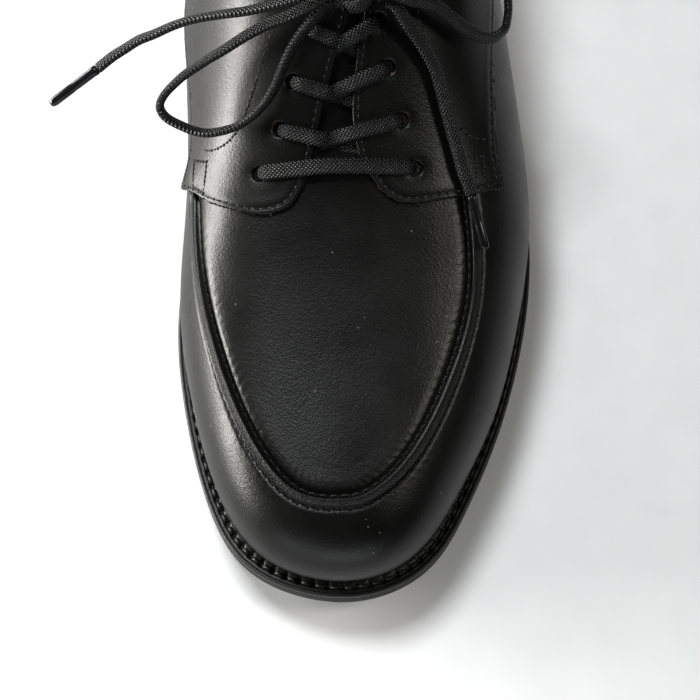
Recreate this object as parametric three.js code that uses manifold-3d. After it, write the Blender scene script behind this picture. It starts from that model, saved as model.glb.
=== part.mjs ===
import * as THREE from 'three';
import { mergeVertices } from 'three/addons/utils/BufferGeometryUtils.js';
import Module from 'manifold-3d';

// A left apron toe derby standing on its sole. Millimetres, +Z up, toe towards -Y, inner side at -X.

const wasm = await Module();
wasm.setup();

// Main sizes
const LENGTH = 300; // sole from toe to heel
const BALL_WIDTH = 112; // sole across the ball
const TOE_SPRING = 11.5; // toe's underside above the floor
const HEEL_HEIGHT = 27; // sole's underside above the floor at the back
const INSTEP_HEIGHT = 100; // scale of the last's crest
const BACK_HEIGHT = 101; // topline above the floor at the heel
const OVERHANG = 11; // upper beyond the sole's edge at the inner waist
const TOE_RIDGE = 40; // from the toe to where the crest begins
const HEEL_RIDGE = 38; // from the heel to where the crest ends

// Sole pieces
const OUTSOLE_THICK = 8;
const WELT_THICK = 3.4;
const WELT_WIDTH = 8.9;
const FEATHER_INSET = 6.5; // from the sole's edge to the foot of the upper
const INSOLE_INSET = 9.2;
const INSOLE_THICK = 5.4; // with the filler inside the welt
const LIFT_THICK = 6; // rubber piece under the heel
const HEEL_INSET = 0.8;
const HEEL_BREAST = 228; // from the toe to the front of the heel
const BREAST_SLANT = 5; // how far the breast leans back at the floor
const EDGE_ROUND = 1; // rounding of the sole's corners
const CLEARANCE = 0.3; // between pieces that touch

// Leather pieces
const WALL = 1.8;
const OVERLAY = 1.5; // quarters and backstrip
const TONGUE_THICK = 2;
const RIDGE_HEIGHT = 1.7;
const RIDGE_WIDTH = 3.6;
const BACKSTRIP_WIDTH = 16;
const EYELET = 4.6;
const EYELET_SIDES = 10;

// Laces
const LACE_WIDTH = 4.8;
const LACE_THICK = 2.4;
const CORD_WIDTH = 4; // of the bow, where the lace rolls
const CORD_THICK = 2.9;
const AGLET = 3;
const LACE_SIDES = 8;
const BAR_STEPS = 8;
const CROSS_STEPS = 4;

// Stations between two rows of the outline, more where it bends
const BENT_STEPS = 3;
const STRAIGHT_STEPS = 2;
const STRAIGHT_ROWS = [5, 10];

// Outline of the sole, a row per section from the toe. along is a share of LENGTH, inner and outer
// of BALL_WIDTH, and innerOver and outerOver give the upper past the sole's edge as shares of OVERHANG.
const OUTLINE = [
  { along: 0, outer: -0.031, inner: -0.031, outerOver: -0.35, innerOver: -0.35 },
  { along: 0.012, outer: 0.116, inner: -0.193, outerOver: -0.36, innerOver: -0.36 },
  { along: 0.047, outer: 0.236, inner: -0.325, outerOver: -0.4, innerOver: -0.4 },
  { along: 0.11, outer: 0.33, inner: -0.411, outerOver: -0.33, innerOver: -0.34 },
  { along: 0.193, outer: 0.42, inner: -0.468, outerOver: -0.24, innerOver: -0.27 },
  { along: 0.293, outer: 0.486, inner: -0.497, outerOver: -0.24, innerOver: -0.16 },
  { along: 0.393, outer: 0.504, inner: -0.468, outerOver: -0.1, innerOver: 0.04 },
  { along: 0.493, outer: 0.468, inner: -0.42, outerOver: 0.03, innerOver: 0.5 },
  { along: 0.593, outer: 0.411, inner: -0.371, outerOver: 0.16, innerOver: 1 },
  { along: 0.693, outer: 0.371, inner: -0.326, outerOver: 0.09, innerOver: 0.84 },
  { along: 0.793, outer: 0.357, inner: -0.299, outerOver: -0.13, innerOver: 0.42 },
  { along: 0.887, outer: 0.326, inner: -0.268, outerOver: -0.27, innerOver: 0 },
  { along: 0.963, outer: 0.223, inner: -0.161, outerOver: -0.31, innerOver: -0.31 },
  { along: 1, outer: 0.027, inner: 0.027, outerOver: -0.31, innerOver: -0.31 },
];

// Side view, a row for every tenth of the length. spring is a share of TOE_SPRING and heel of
// HEEL_HEIGHT, crest is a share of INSTEP_HEIGHT, and centre, the crest's place across, of BALL_WIDTH.
const PROFILE = [
  { spring: 1, heel: 0, crest: 0.46, centre: -0.036 },
  { spring: 0.365, heel: 0, crest: 0.49, centre: -0.036 },
  { spring: 0.05, heel: 0, crest: 0.52, centre: -0.034 },
  { spring: -0.035, heel: 0, crest: 0.57, centre: -0.032 },
  { spring: -0.035, heel: 0, crest: 0.66, centre: -0.032 },
  { spring: 0, heel: 0.096, crest: 0.81, centre: -0.027 },
  { spring: 0, heel: 0.352, crest: 0.975, centre: -0.013 },
  { spring: 0, heel: 0.667, crest: 1.1, centre: 0.004 },
  { spring: 0, heel: 0.852, crest: 1.17, centre: 0.022 },
  { spring: 0, heel: 0.944, crest: 1.19, centre: 0.036 },
  { spring: 0, heel: 1, crest: 1.2, centre: 0.04 },
];

// Half sections of the last from the feather line to the crest. under is how far the wall is
// tucked to the feather line, inward the share of the way to the crest line, rise of the height.
const FORE_SECTION = [
  { under: 1, inward: 0, rise: 0 },
  { under: 0.35, inward: 0, rise: 0.12 },
  { under: 0, inward: 0, rise: 0.28 },
  { under: 0, inward: 0.025, rise: 0.48 },
  { under: 0, inward: 0.1, rise: 0.69 },
  { under: 0, inward: 0.25, rise: 0.86 },
  { under: 0, inward: 0.47, rise: 0.955 },
  { under: 0, inward: 0.73, rise: 0.99 },
  { under: 0, inward: 1, rise: 1 },
];
const WAIST_SECTION = [
  { under: 1, inward: 0, rise: 0 },
  { under: 0.42, inward: 0, rise: 0.1 },
  { under: 0.06, inward: 0, rise: 0.22 },
  { under: 0, inward: 0.02, rise: 0.36 },
  { under: 0, inward: 0.1, rise: 0.53 },
  { under: 0, inward: 0.23, rise: 0.7 },
  { under: 0, inward: 0.42, rise: 0.86 },
  { under: 0, inward: 0.69, rise: 0.968 },
  { under: 0, inward: 1, rise: 1 },
];
const BACK_SECTION = [
  { under: 1, inward: 0, rise: 0 },
  { under: 0.3, inward: 0, rise: 0.1 },
  { under: 0, inward: 0, rise: 0.24 },
  { under: 0, inward: 0.03, rise: 0.38 },
  { under: 0, inward: 0.1, rise: 0.52 },
  { under: 0, inward: 0.19, rise: 0.66 },
  { under: 0, inward: 0.34, rise: 0.8 },
  { under: 0, inward: 0.62, rise: 0.94 },
  { under: 0, inward: 1, rise: 1 },
];

// Where the apron's ridge runs: its climb from the feather line to the crest, a row per outline row.
const APRON = [
  { outer: 0.817, inner: 0.817 },
  { outer: 0.807, inner: 0.798 },
  { outer: 0.777, inner: 0.755 },
  { outer: 0.71, inner: 0.69 },
  { outer: 0.665, inner: 0.62 },
  { outer: 0.64, inner: 0.555 },
  { outer: 0.69, inner: 0.49 },
  { outer: 0.72, inner: 0.46 },
];
const RIDGE_ENDS = [5.6, 5.8]; // outline rows between which the ridge dies out under the quarters

// Plan of each quarter's front edge and facing edge, from the side to the collar.
// across is a share of BALL_WIDTH and along of LENGTH.
const INNER_FACING = [
  { across: -0.57, along: 0.43 },
  { across: -0.46, along: 0.413 },
  { across: -0.383, along: 0.384 },
  { across: -0.29, along: 0.368 },
  { across: -0.23, along: 0.365 },
  { across: -0.174, along: 0.371 },
  { across: -0.14, along: 0.386 },
  { across: -0.114, along: 0.41 },
  { across: -0.085, along: 0.455 },
  { across: -0.04, along: 0.512 },
  { across: -0.012, along: 0.545 },
  { across: -0.008, along: 0.6 },
];
const OUTER_FACING = [
  { across: 0.5, along: 0.42 },
  { across: 0.388, along: 0.398 },
  { across: 0.291, along: 0.385 },
  { across: 0.174, along: 0.375 },
  { across: 0.118, along: 0.376 },
  { across: 0.076, along: 0.385 },
  { across: 0.054, along: 0.396 },
  { across: 0.022, along: 0.412 },
  { across: 0, along: 0.442 },
  { across: -0.002, along: 0.475 },
  { across: 0.012, along: 0.515 },
  { across: 0.027, along: 0.545 },
  { across: 0.031, along: 0.6 },
];

// Lower edge of the quarters in side view. height is a share of INSTEP_HEIGHT.
const INNER_HEM = [
  { along: 0.38, height: 0.42 },
  { along: 0.46, height: 0.455 },
  { along: 0.59, height: 0.5 },
  { along: 0.7, height: 0.56 },
  { along: 0.83, height: 0.62 },
  { along: 1.02, height: 0.67 },
];
const OUTER_HEM = [
  { along: 0.38, height: 0.51 },
  { along: 0.42, height: 0.555 },
  { along: 0.47, height: 0.585 },
  { along: 0.58, height: 0.635 },
  { along: 0.7, height: 0.65 },
  { along: 0.83, height: 0.66 },
  { along: 1.02, height: 0.67 },
];

// Topline in side view, from the facings to the heel. height is a share of BACK_HEIGHT.
const TOPLINE = [
  { along: 0.6, height: 1.25 },
  { along: 0.607, height: 0.99 },
  { along: 0.65, height: 0.925 },
  { along: 0.72, height: 0.875 },
  { along: 0.79, height: 0.862 },
  { along: 0.87, height: 0.895 },
  { along: 0.94, height: 0.965 },
  { along: 0.985, height: 1 },
  { along: 1.05, height: 1.01 },
];

// Throat of the upper under the facings, in plan: its half width about the line of the gap.
const THROAT = [
  { centre: -0.045, half: 0.085, along: 0.437 },
  { centre: -0.04, half: 0.075, along: 0.48 },
  { centre: -0.016, half: 0.066, along: 0.515 },
  { centre: 0.01, half: 0.057, along: 0.55 },
  { centre: 0.012, half: 0.057, along: 0.63 },
];

// Plan of the tongue, front to top, about the same line.
const TONGUE = [
  { centre: -0.045, half: 0.1, along: 0.385 },
  { centre: -0.045, half: 0.15, along: 0.41 },
  { centre: -0.03, half: 0.19, along: 0.5 },
  { centre: 0, half: 0.23, along: 0.6 },
  { centre: 0.005, half: 0.23, along: 0.635 },
  { centre: 0.005, half: 0.17, along: 0.655 },
];

// Eyelet pairs from the toe. around is counted in outline rows, climb as for the apron.
const EYELETS = [
  { outer: 6.1, outerClimb: 0.835, inner: 6.07, innerClimb: 0.775 },
  { outer: 6.55, outerClimb: 0.87, inner: 6.47, innerClimb: 0.838 },
  { outer: 7.03, outerClimb: 0.905, inner: 6.9, innerClimb: 0.877 },
  { outer: 7.45, outerClimb: 0.927, inner: 7.38, innerClimb: 0.917 },
  { outer: 7.85, outerClimb: 0.935, inner: 7.82, innerClimb: 0.937 },
];

// Where the laces cross in the gap, between one pair of eyelets and the next.
const CROSSINGS = [
  { around: 6.27, climb: 0.985 },
  { around: 6.72, climb: 0.985 },
  { around: 7.1, climb: 0.985 },
  { around: 7.5, climb: 0.985 },
];

// Bow, as it lies in the photograph's top view: [across, along, up] from the knot outwards.
const KNOT_AT = [1.5, 14, 99.9];
const KNOT_LENGTH = 15;
const KNOT_RADIUS = 5.4;
const KNOT_END_RADIUS = 4.6;
const INNER_END = [
  [-6.3, 14.4, 102.7], [-8.5, 14.3, 102.7], [-12, 13.2, 102.3], [-16.3, 11.8, 101.3], [-23.8, 10.2, 99.5],
  [-31.4, 9.2, 97.5], [-39.4, 9.1, 95], [-47.4, 8.6, 92.5], [-53.1, 7.5, 90.5], [-58.5, 5.8, 88.5], [-63, 4.6, 87],
  [-66.9, 2.7, 85.5], [-71.1, 0.5, 84], [-75.3, -2.3, 82.2],
];
const INNER_TIP = [[-75.6, -2.5, 82], [-89.8, -10.8, 75]];
const INNER_LOOP = [
  [-6.3, 13.4, 99.4], [-8.5, 13.2, 99.3], [-12.6, 11, 97.9], [-18.7, 8.8, 95.2], [-25.2, 7.5, 92], [-31.7, 4.8, 89.5],
  [-38.2, 1.4, 87], [-42.8, -0.4, 84.5], [-46.4, -2.1, 82.5], [-50, -3.8, 80.5], [-53.4, -6.2, 78.5],
  [-55.9, -8.2, 76.5], [-57.4, -10.5, 75], [-57.2, -12.5, 73.5], [-55.2, -14.4, 72], [-51.1, -16.3, 71],
  [-47.2, -17.7, 70.5], [-43.3, -18.5, 71], [-39, -18.3, 72.3], [-35.1, -17.7, 74], [-31.5, -16.3, 76],
  [-28.2, -14.2, 78], [-25.4, -11.7, 80.5], [-23, -8.1, 82.5], [-20.9, -3.7, 85], [-19.2, -0.5, 87],
  [-17.1, 2.8, 89], [-14.7, 5.6, 91.2], [-12.1, 8, 93.4], [-8.5, 11.4, 96.2], [-6.3, 11.8, 96.3],
];
const OUTER_LOOP = [
  [9.3, 13.6, 99.8], [11.5, 13.5, 99.8], [14.5, 12.8, 99.1], [17.6, 12.4, 97.8], [22, 12.6, 95.5], [25.3, 11.8, 93],
  [28.6, 10.3, 90], [31.7, 9, 87], [35.1, 8.1, 84], [37.6, 7.8, 81.5], [39.8, 8.4, 79.5],
  [42.2, 9.3, 78], [43.8, 10.7, 77], [45.4, 12.8, 76.5], [46, 15.5, 77], [46.3, 18.6, 78],
  [45.9, 22.3, 80], [44, 26.4, 83], [40.2, 29.4, 86.6], [35, 31, 90.4], [29, 30.6, 94.4],
  [23, 28.2, 98], [17.8, 23.6, 101], [14, 18.6, 102.7], [11.5, 15.4, 103], [9.3, 15.2, 103],
];
const OUTER_END = [
  [9.3, 12.4, 96.5], [11.3, 12.1, 96.4], [13.4, 10.3, 94.9], [16, 7.3, 91.9], [19.6, 3.7, 87.5], [22.6, 0, 83.5],
  [24.5, -3.2, 80.6], [25.7, -6.6, 78.1], [27.3, -11.9, 74.9], [29.1, -17.7, 71.8], [30.9, -23.1, 69.3],
  [32.4, -28.4, 67.2], [34, -32.1, 65.4], [35.2, -35.4, 64],
];
const OUTER_TIP = [[35.3, -35.7, 63.9], [39.5, -50.6, 58.2]];

const clamp = (value, low, high) => Math.min(Math.max(value, low), high);

function smoothstep(low, high, value) {
  const share = clamp((value - low) / (high - low), 0, 1);
  return share * share * (3 - 2 * share);
}

// Row before the first or after the last one: wrapped, straight on, or mirrored at the crest.
const straightOn = (end, next) => end.map((value, k) => 2 * value - next[k]);
const BEYOND = {
  closed: (rows, i) => rows[(i + rows.length) % rows.length],
  open: (rows, i) => (i < 0 ? straightOn(rows[0], rows[1]) : straightOn(rows.at(-1), rows.at(-2))),
  crest: (rows, i) => {
    if (i < 0) return straightOn(rows[0], rows[1]);
    const [under, inward, rise] = rows.at(-2);
    return [under, 2 - inward, rise];
  },
};

// Cubic spline through the rows of a table, one row per unit.
function splineThrough(table, columns, kind = 'open') {
  const rows = table.map((row) => columns.map((name) => row[name]));
  const beyond = BEYOND[kind];
  let controls = rows.map((row) => [...row]);
  const at = (list, i) => (i < 0 || i >= list.length ? beyond(list, i) : list[i]);
  for (let pass = 0; pass < 50; pass++) {
    controls = controls.map((row, i) => row.map((value, k) => {
      const smoothed = (at(controls, i - 1)[k] + 4 * value + at(controls, i + 1)[k]) / 6;
      return value + rows[i][k] - smoothed;
    }));
  }
  const last = kind === 'closed' ? Infinity : rows.length - 1;
  return (place) => {
    const wrapped = kind === 'closed' ? (place + rows.length) % rows.length : clamp(place, 0, last);
    const i = Math.min(Math.floor(wrapped), rows.length - (kind === 'closed' ? 1 : 2));
    const f = wrapped - i;
    const weights = [
      (1 - f) ** 3 / 6,
      (3 * f ** 3 - 6 * f ** 2 + 4) / 6,
      (-3 * f ** 3 + 3 * f ** 2 + 3 * f + 1) / 6,
      f ** 3 / 6,
    ];
    return rows[0].map((_, k) => weights.reduce((sum, w, j) => sum + w * at(controls, i - 1 + j)[k], 0));
  };
}

// The outline as one closed ring: out along the outer side and back along the inner side.
const ROWS = OUTLINE.length - 1;
const RING = [
  ...OUTLINE.map((row) => ({ along: row.along, across: row.outer, over: row.outerOver })),
  ...OUTLINE.slice(1, -1).reverse().map((row) => ({ along: row.along, across: row.inner, over: row.innerOver })),
];
const ringAt = splineThrough(RING, ['along', 'across', 'over'], 'closed');
const profileAt = splineThrough(PROFILE, ['spring', 'heel', 'crest', 'centre']);
const sections = [FORE_SECTION, WAIST_SECTION, BACK_SECTION].map(
  (table) => splineThrough(table, ['under', 'inward', 'rise'], 'crest'),
);
const apronAt = splineThrough(APRON, ['outer', 'inner']);

const profile = (along) => profileAt((along / LENGTH) * (PROFILE.length - 1));
const crestHeight = (along) => profile(along)[2] * INSTEP_HEIGHT;
const crestAcross = (along) => profile(along)[3] * BALL_WIDTH;

// Underside of the sole above the floor.
function underside(along) {
  const [spring, heel] = profile(along);
  return Math.max(0, spring * TOE_SPRING + heel * HEEL_HEIGHT);
}

// Sole's edge at a place around the ring, with the direction that points out of it.
function soleEdge(around) {
  const step = 0.001;
  const [along, across, over] = ringAt(around);
  const [alongA, acrossA] = ringAt(around - step);
  const [alongB, acrossB] = ringAt(around + step);
  const edge = new THREE.Vector2(across * BALL_WIDTH, along * LENGTH);
  const out = new THREE.Vector2((alongB - alongA) * LENGTH, (acrossA - acrossB) * BALL_WIDTH).normalize();
  return { edge, out, over: over * OVERHANG };
}

// Point of the last. around runs along the ring, climb from the feather line to the crest.
function onLast(around, climb) {
  const { edge, out, over } = soleEdge(around);
  const feather = edge.clone().addScaledVector(out, -FEATHER_INSET);
  const widest = edge.clone().addScaledVector(out, over);
  const ahead = edge.y;
  const behind = LENGTH - edge.y;
  const ridge = ahead + Math.hypot(ahead, TOE_RIDGE) - ahead - Math.hypot(behind, HEEL_RIDGE) + behind;
  const crest = new THREE.Vector2(crestAcross(ridge), ridge);
  const waist = smoothstep(0.317, 0.55, edge.y / LENGTH);
  const back = smoothstep(0.583, 0.817, edge.y / LENGTH);
  const weights = [1 - waist, waist * (1 - back), waist * back];
  const rows = sections.map((section) => section(climb * (FORE_SECTION.length - 1)));
  const [under, inward, rise] = [0, 1, 2].map((k) => rows.reduce((sum, row, j) => sum + row[k] * weights[j], 0));
  const plan = widest.multiplyScalar(1 - under - inward);
  plan.addScaledVector(feather, under).addScaledVector(crest, inward);
  const foot = underside(plan.y) + OUTSOLE_THICK + WELT_THICK + CLEARANCE;
  return new THREE.Vector3(plan.x, plan.y - LENGTH / 2, foot + (crestHeight(plan.y) - foot) * rise);
}

// Direction out of the last at a point of it.
function outOfLast(around, climb) {
  const step = 0.004;
  const high = Math.min(climb + step, 1);
  const low = Math.max(climb - step, 0);
  const up = onLast(around, high).sub(onLast(around, low));
  const side = clamp(climb, 0, 1 - step);
  const round = onLast(around + step, side).sub(onLast(around - step, side));
  return round.cross(up).normalize();
}

const offLast = (around, climb, offset) => onLast(around, climb).addScaledVector(outOfLast(around, climb), offset);

// Places around the ring on one side, from the toe to the heel.
function stationList() {
  const places = [...RIDGE_ENDS];
  for (let row = 0; row <= ROWS; row++) {
    const straight = row >= STRAIGHT_ROWS[0] && row < STRAIGHT_ROWS[1];
    const steps = row === ROWS ? 1 : straight ? STRAIGHT_STEPS : BENT_STEPS;
    for (let i = 0; i < steps; i++) places.push(row + i / steps);
  }
  return places.sort((a, b) => a - b);
}
const STATIONS = stationList();
const otherSide = (around) => 2 * ROWS - around;

// Closed mesh from points and index triples, as a solid.
function solidOf(points, triangles) {
  const geometry = new THREE.BufferGeometry();
  const position = new Float32Array(points.flatMap((point) => [point.x, point.y, point.z]));
  geometry.setAttribute('position', new THREE.BufferAttribute(position, 3));
  geometry.setIndex(triangles.filter(([a, b, c]) => a !== b && b !== c && c !== a).flat());
  return solidFrom(geometry);
}

function solidFrom(geometry) {
  geometry.deleteAttribute('normal');
  geometry.deleteAttribute('uv');
  const merged = mergeVertices(geometry, 1e-4);
  return new wasm.Manifold(new wasm.Mesh({
    numProp: 3,
    vertProperties: Float32Array.from(merged.attributes.position.array),
    triVerts: Uint32Array.from(merged.index.array),
  }));
}

// Heights of the columns that climb one side, with four for the ridge or one where the seam is plain.
function columnsAt(around, inner, plain) {
  const seam = apronAt(Math.min(around, APRON.length - 1))[inner ? 1 : 0];
  const place = inner ? otherSide(around) : around;
  const step = 0.01;
  const perClimb = onLast(place, seam + step).distanceTo(onLast(place, seam - step)) / (2 * step);
  const half = RIDGE_WIDTH / 2 / perClimb;
  const below = [0, 0.1, 0.22, 0.4, 0.62, 0.84].map((share) => ({ climb: share * (seam - half), ridge: 0 }));
  const shape = plain ? [[0, 0]] : [[-1, 0], [-0.7, 1], [0.5, 1], [1, 0]];
  const ridge = shape.map(([share, height]) => ({
    climb: seam + share * half,
    ridge: height,
  }));
  const top = seam + half;
  const above = [0.33, 0.66].map((share) => ({ climb: top + share * (1 - top), ridge: 0 }));
  return [...below, ...ridge, ...above];
}

// The last grown or shrunk by an offset, as a closed solid. skirt drops its foot, and ridge raises the seam.
// Inside the wall the seam is plain.
function lastForm(offset, { skirt = 0, ridge = 0 } = {}) {
  const points = [];
  const grid = STATIONS.map((around, i) => {
    const height = ridge * (1 - smoothstep(RIDGE_ENDS[0], RIDGE_ENDS[1], around));
    const add = (point) => points.push(point) - 1;
    const wall = (inner) => {
      const place = inner ? otherSide(around) : around;
      const rows = columnsAt(around, inner, offset < 0).map(
        (column) => add(offLast(place, column.climb, offset + height * column.ridge)),
      );
      const foot = points[rows[0]].clone();
      foot.z -= skirt;
      return skirt > 0 ? [add(foot), ...rows] : rows;
    };
    const crest = offLast(around, 1, offset).add(offLast(otherSide(around), 1, offset)).multiplyScalar(0.5);
    const outer = wall(false);
    const end = i === 0 || i === STATIONS.length - 1;
    const inner = end ? outer : wall(true);
    return [...outer, add(crest), ...[...inner].reverse()];
  });
  const triangles = [];
  for (let i = 0; i + 1 < grid.length; i++) {
    const [near, far] = [grid[i], grid[i + 1]];
    for (let j = 0; j < near.length; j++) {
      const k = (j + 1) % near.length;
      triangles.push([near[j], far[j], far[k]], [near[j], far[k], near[k]]);
    }
  }
  return solidOf(points, triangles);
}

// Ring of points around the sole at an inset from its edge and a height above its underside.
function soleRing(inset, height, floor = underside) {
  const points = [];
  const places = [...STATIONS, ...STATIONS.slice(1, -1).reverse().map(otherSide)];
  for (const around of places) {
    const { edge, out } = soleEdge(around);
    const plan = edge.addScaledVector(out, -inset);
    points.push(new THREE.Vector3(plan.x, plan.y - LENGTH / 2, floor(plan.y) + height));
  }
  return points;
}

// Solid between rings, from the lowest to the highest. hollow joins the last ring to the first.
function soleSolid(rings, hollow = false) {
  const count = rings[0].length;
  const points = rings.flat();
  const triangles = [];
  const walls = hollow ? rings.length : rings.length - 1;
  for (let level = 0; level < walls; level++) {
    const [low, high] = [level * count, ((level + 1) % rings.length) * count];
    for (let i = 0; i < count; i++) {
      const next = (i + 1) % count;
      triangles.push([low + i, low + next, high + next], [low + i, high + next, high + i]);
    }
  }
  if (!hollow) {
    const top = (rings.length - 1) * count;
    for (let i = 0; i < STATIONS.length - 1; i++) {
      const [a, b] = [i, i + 1];
      const [c, d] = [(count - i) % count, count - i - 1];
      triangles.push([a, d, b], [a, c, d], [top + a, top + b, top + d], [top + a, top + d, top + c]);
    }
  }
  return solidOf(points, triangles);
}

// Sweep a flat shape through the whole object: upwards from a plan, or sideways from a side view.
const FAR = 400;
function throughPlan(shape) {
  const geometry = new THREE.ExtrudeGeometry(shape, { depth: 2 * FAR, bevelEnabled: false });
  return solidFrom(geometry.translate(0, 0, -FAR));
}
function throughSide(shape) {
  const geometry = new THREE.ExtrudeGeometry(shape, { depth: 2 * FAR, bevelEnabled: false });
  geometry.rotateY(Math.PI / 2).rotateX(Math.PI / 2).translate(-FAR, 0, 0);
  return solidFrom(geometry);
}

const planPoint = (row) => new THREE.Vector2(row.across * BALL_WIDTH, (row.along - 0.5) * LENGTH);
const smoothLine = (points, steps) => new THREE.SplineCurve(points).getPoints(steps);

// Region above a line in side view, open towards the top.
function aboveLine(table, scale, steps) {
  const line = smoothLine(table.map((row) => new THREE.Vector2((row.along - 0.5) * LENGTH, row.height * scale)), steps);
  const [first, last] = [line[0], line.at(-1)];
  return throughSide(new THREE.Shape([
    ...line,
    new THREE.Vector2(last.x, FAR),
    new THREE.Vector2(first.x, FAR),
  ]));
}

// Band about a centre line in plan, open towards the heel.
function planBand(table, steps) {
  const side = (sign) => smoothLine(
    table.map((row) => planPoint({ across: row.centre + sign * row.half, along: row.along })),
    steps,
  );
  return throughPlan(new THREE.Shape([...side(1), ...side(-1).reverse()]));
}

const collarCut = aboveLine(TOPLINE, BACK_HEIGHT, 26);

function quarter(facing, hem, sign) {
  const edge = smoothLine(facing.map(planPoint), 30);
  const far = sign * BALL_WIDTH;
  const plan = throughPlan(new THREE.Shape([
    ...edge,
    new THREE.Vector2(edge.at(-1).x, LENGTH),
    new THREE.Vector2(far, LENGTH),
    new THREE.Vector2(far, edge[0].y),
  ]));
  const shell = lastForm(CLEARANCE + OVERLAY).subtract(lastForm(CLEARANCE));
  const strip = backstripPlan(BACKSTRIP_WIDTH / 2 + CLEARANCE);
  return shell.intersect(plan).intersect(aboveLine(hem, INSTEP_HEIGHT, 14)).subtract(strip).subtract(collarCut);
}

// Strip over the back seam, in plan.
function backstripPlan(half) {
  const middle = crestAcross(LENGTH);
  return throughPlan(new THREE.Shape([
    new THREE.Vector2(middle - half, LENGTH / 4),
    new THREE.Vector2(middle + half, LENGTH / 4),
    new THREE.Vector2(middle + half, LENGTH),
    new THREE.Vector2(middle - half, LENGTH),
  ]));
}

function backstrip() {
  const shell = lastForm(CLEARANCE + OVERLAY).subtract(lastForm(CLEARANCE));
  const foot = HEEL_HEIGHT + OUTSOLE_THICK + WELT_THICK + OVERLAY;
  const behind = throughSide(new THREE.Shape([
    new THREE.Vector2(0, foot),
    new THREE.Vector2(LENGTH, foot),
    new THREE.Vector2(LENGTH, FAR),
    new THREE.Vector2(0, FAR),
  ]));
  return shell.intersect(backstripPlan(BACKSTRIP_WIDTH / 2)).intersect(behind).subtract(collarCut);
}

// Eyelet positions as places around the ring.
const eyeletPlaces = EYELETS.flatMap((pair) => [
  { around: pair.outer, climb: pair.outerClimb },
  { around: otherSide(pair.inner), climb: pair.innerClimb },
]);

function eyeletHole({ around, climb }) {
  const depth = 4 * (WALL + OVERLAY);
  const geometry = new THREE.CylinderGeometry(EYELET / 2, EYELET / 2, depth, EYELET_SIDES);
  const turn = new THREE.Quaternion().setFromUnitVectors(new THREE.Vector3(0, 1, 0), outOfLast(around, climb));
  const place = onLast(around, climb);
  geometry.applyQuaternion(turn).translate(place.x, place.y, place.z);
  return solidFrom(geometry);
}

const punch = (solid) => eyeletPlaces.reduce((left, place) => left.subtract(eyeletHole(place)), solid);

function upper() {
  const outside = lastForm(0, { ridge: RIDGE_HEIGHT });
  const inside = lastForm(-WALL, { skirt: 8 });
  return punch(outside.subtract(inside).subtract(collarCut).subtract(planBand(THROAT, 20)));
}

function tongue() {
  const top = -WALL - CLEARANCE;
  const shell = lastForm(top).subtract(lastForm(top - TONGUE_THICK, { skirt: 8 }));
  return shell.intersect(planBand(TONGUE, 24));
}

// Flat ring of points across a line, then a closed solid through all the rings.
function sweep(points, normals, width, thick) {
  const count = points.length;
  const rings = points.map((point, i) => {
    const along = points[Math.min(i + 1, count - 1)].clone().sub(points[Math.max(i - 1, 0)]).normalize();
    const side = along.clone().cross(normals[i]).normalize();
    const up = side.clone().cross(along);
    return Array.from({ length: LACE_SIDES }, (_, k) => {
      const angle = ((k + 0.5) / LACE_SIDES) * 2 * Math.PI;
      return point.clone()
        .addScaledVector(side, (Math.cos(angle) * width) / 2)
        .addScaledVector(up, (Math.sin(angle) * thick) / 2);
    });
  });
  const triangles = [];
  const at = (i, k) => i * LACE_SIDES + (k % LACE_SIDES);
  for (let i = 0; i + 1 < count; i++) {
    for (let k = 0; k < LACE_SIDES; k++) {
      triangles.push([at(i, k), at(i + 1, k + 1), at(i, k + 1)], [at(i, k), at(i + 1, k), at(i + 1, k + 1)]);
    }
  }
  for (let k = 1; k + 1 < LACE_SIDES; k++) {
    triangles.push([at(0, 0), at(0, k), at(0, k + 1)], [at(count - 1, 0), at(count - 1, k + 1), at(count - 1, k)]);
  }
  return solidOf(rings.flat(), triangles);
}

// Lace over the quarters through places on the last, held clear of the leather under it.
function laceOver(places, steps) {
  const lift = 2 * CLEARANCE + OVERLAY + LACE_THICK / 2;
  const line = new THREE.CatmullRomCurve3(places.map(({ around, climb }) => offLast(around, climb, lift)));
  const tilt = new THREE.CatmullRomCurve3(places.map(({ around, climb }) => outOfLast(around, climb)));
  const shares = Array.from({ length: steps + 1 }, (_, i) => i / steps);
  return sweep(
    shares.map((share) => line.getPoint(share)),
    shares.map((share) => tilt.getPoint(share)),
    LACE_WIDTH,
    LACE_THICK,
  );
}

// From one eyelet of a pair to the other, straight to a place in the gap and on from it.
function laceAcross(pair, middle, steps) {
  const halfway = (around, climb) => ({ around: (around + middle.around) / 2, climb: (climb + middle.climb) / 2 });
  const nearInner = halfway(pair.inner, pair.innerClimb);
  return laceOver([
    { around: otherSide(pair.inner), climb: pair.innerClimb },
    { around: otherSide(nearInner.around), climb: nearInner.climb },
    middle,
    halfway(pair.outer, pair.outerClimb),
    { around: pair.outer, climb: pair.outerClimb },
  ], steps);
}

function freeLace(route, width, thick) {
  const points = route.map((point) => new THREE.Vector3(...point));
  return sweep(points, points.map(() => new THREE.Vector3(0, 0, 1)), width, thick);
}

// A short barrel across the shoe, with a flat end where each lace comes out.
function knot() {
  const half = KNOT_LENGTH / 2;
  const profile = [[0, -half], [KNOT_END_RADIUS, -half], [KNOT_RADIUS, -half / 2]];
  const rest = profile.map(([radius, along]) => [radius, -along]).reverse();
  const geometry = new THREE.LatheGeometry([...profile, ...rest].map((point) => new THREE.Vector2(...point)), 12);
  return solidFrom(geometry.rotateZ(-Math.PI / 2).translate(...KNOT_AT));
}

const outsole = () => soleSolid([
  soleRing(EDGE_ROUND, 0),
  soleRing(0, EDGE_ROUND),
  soleRing(0, OUTSOLE_THICK - EDGE_ROUND / 2),
  soleRing(EDGE_ROUND / 2, OUTSOLE_THICK),
]);

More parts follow.
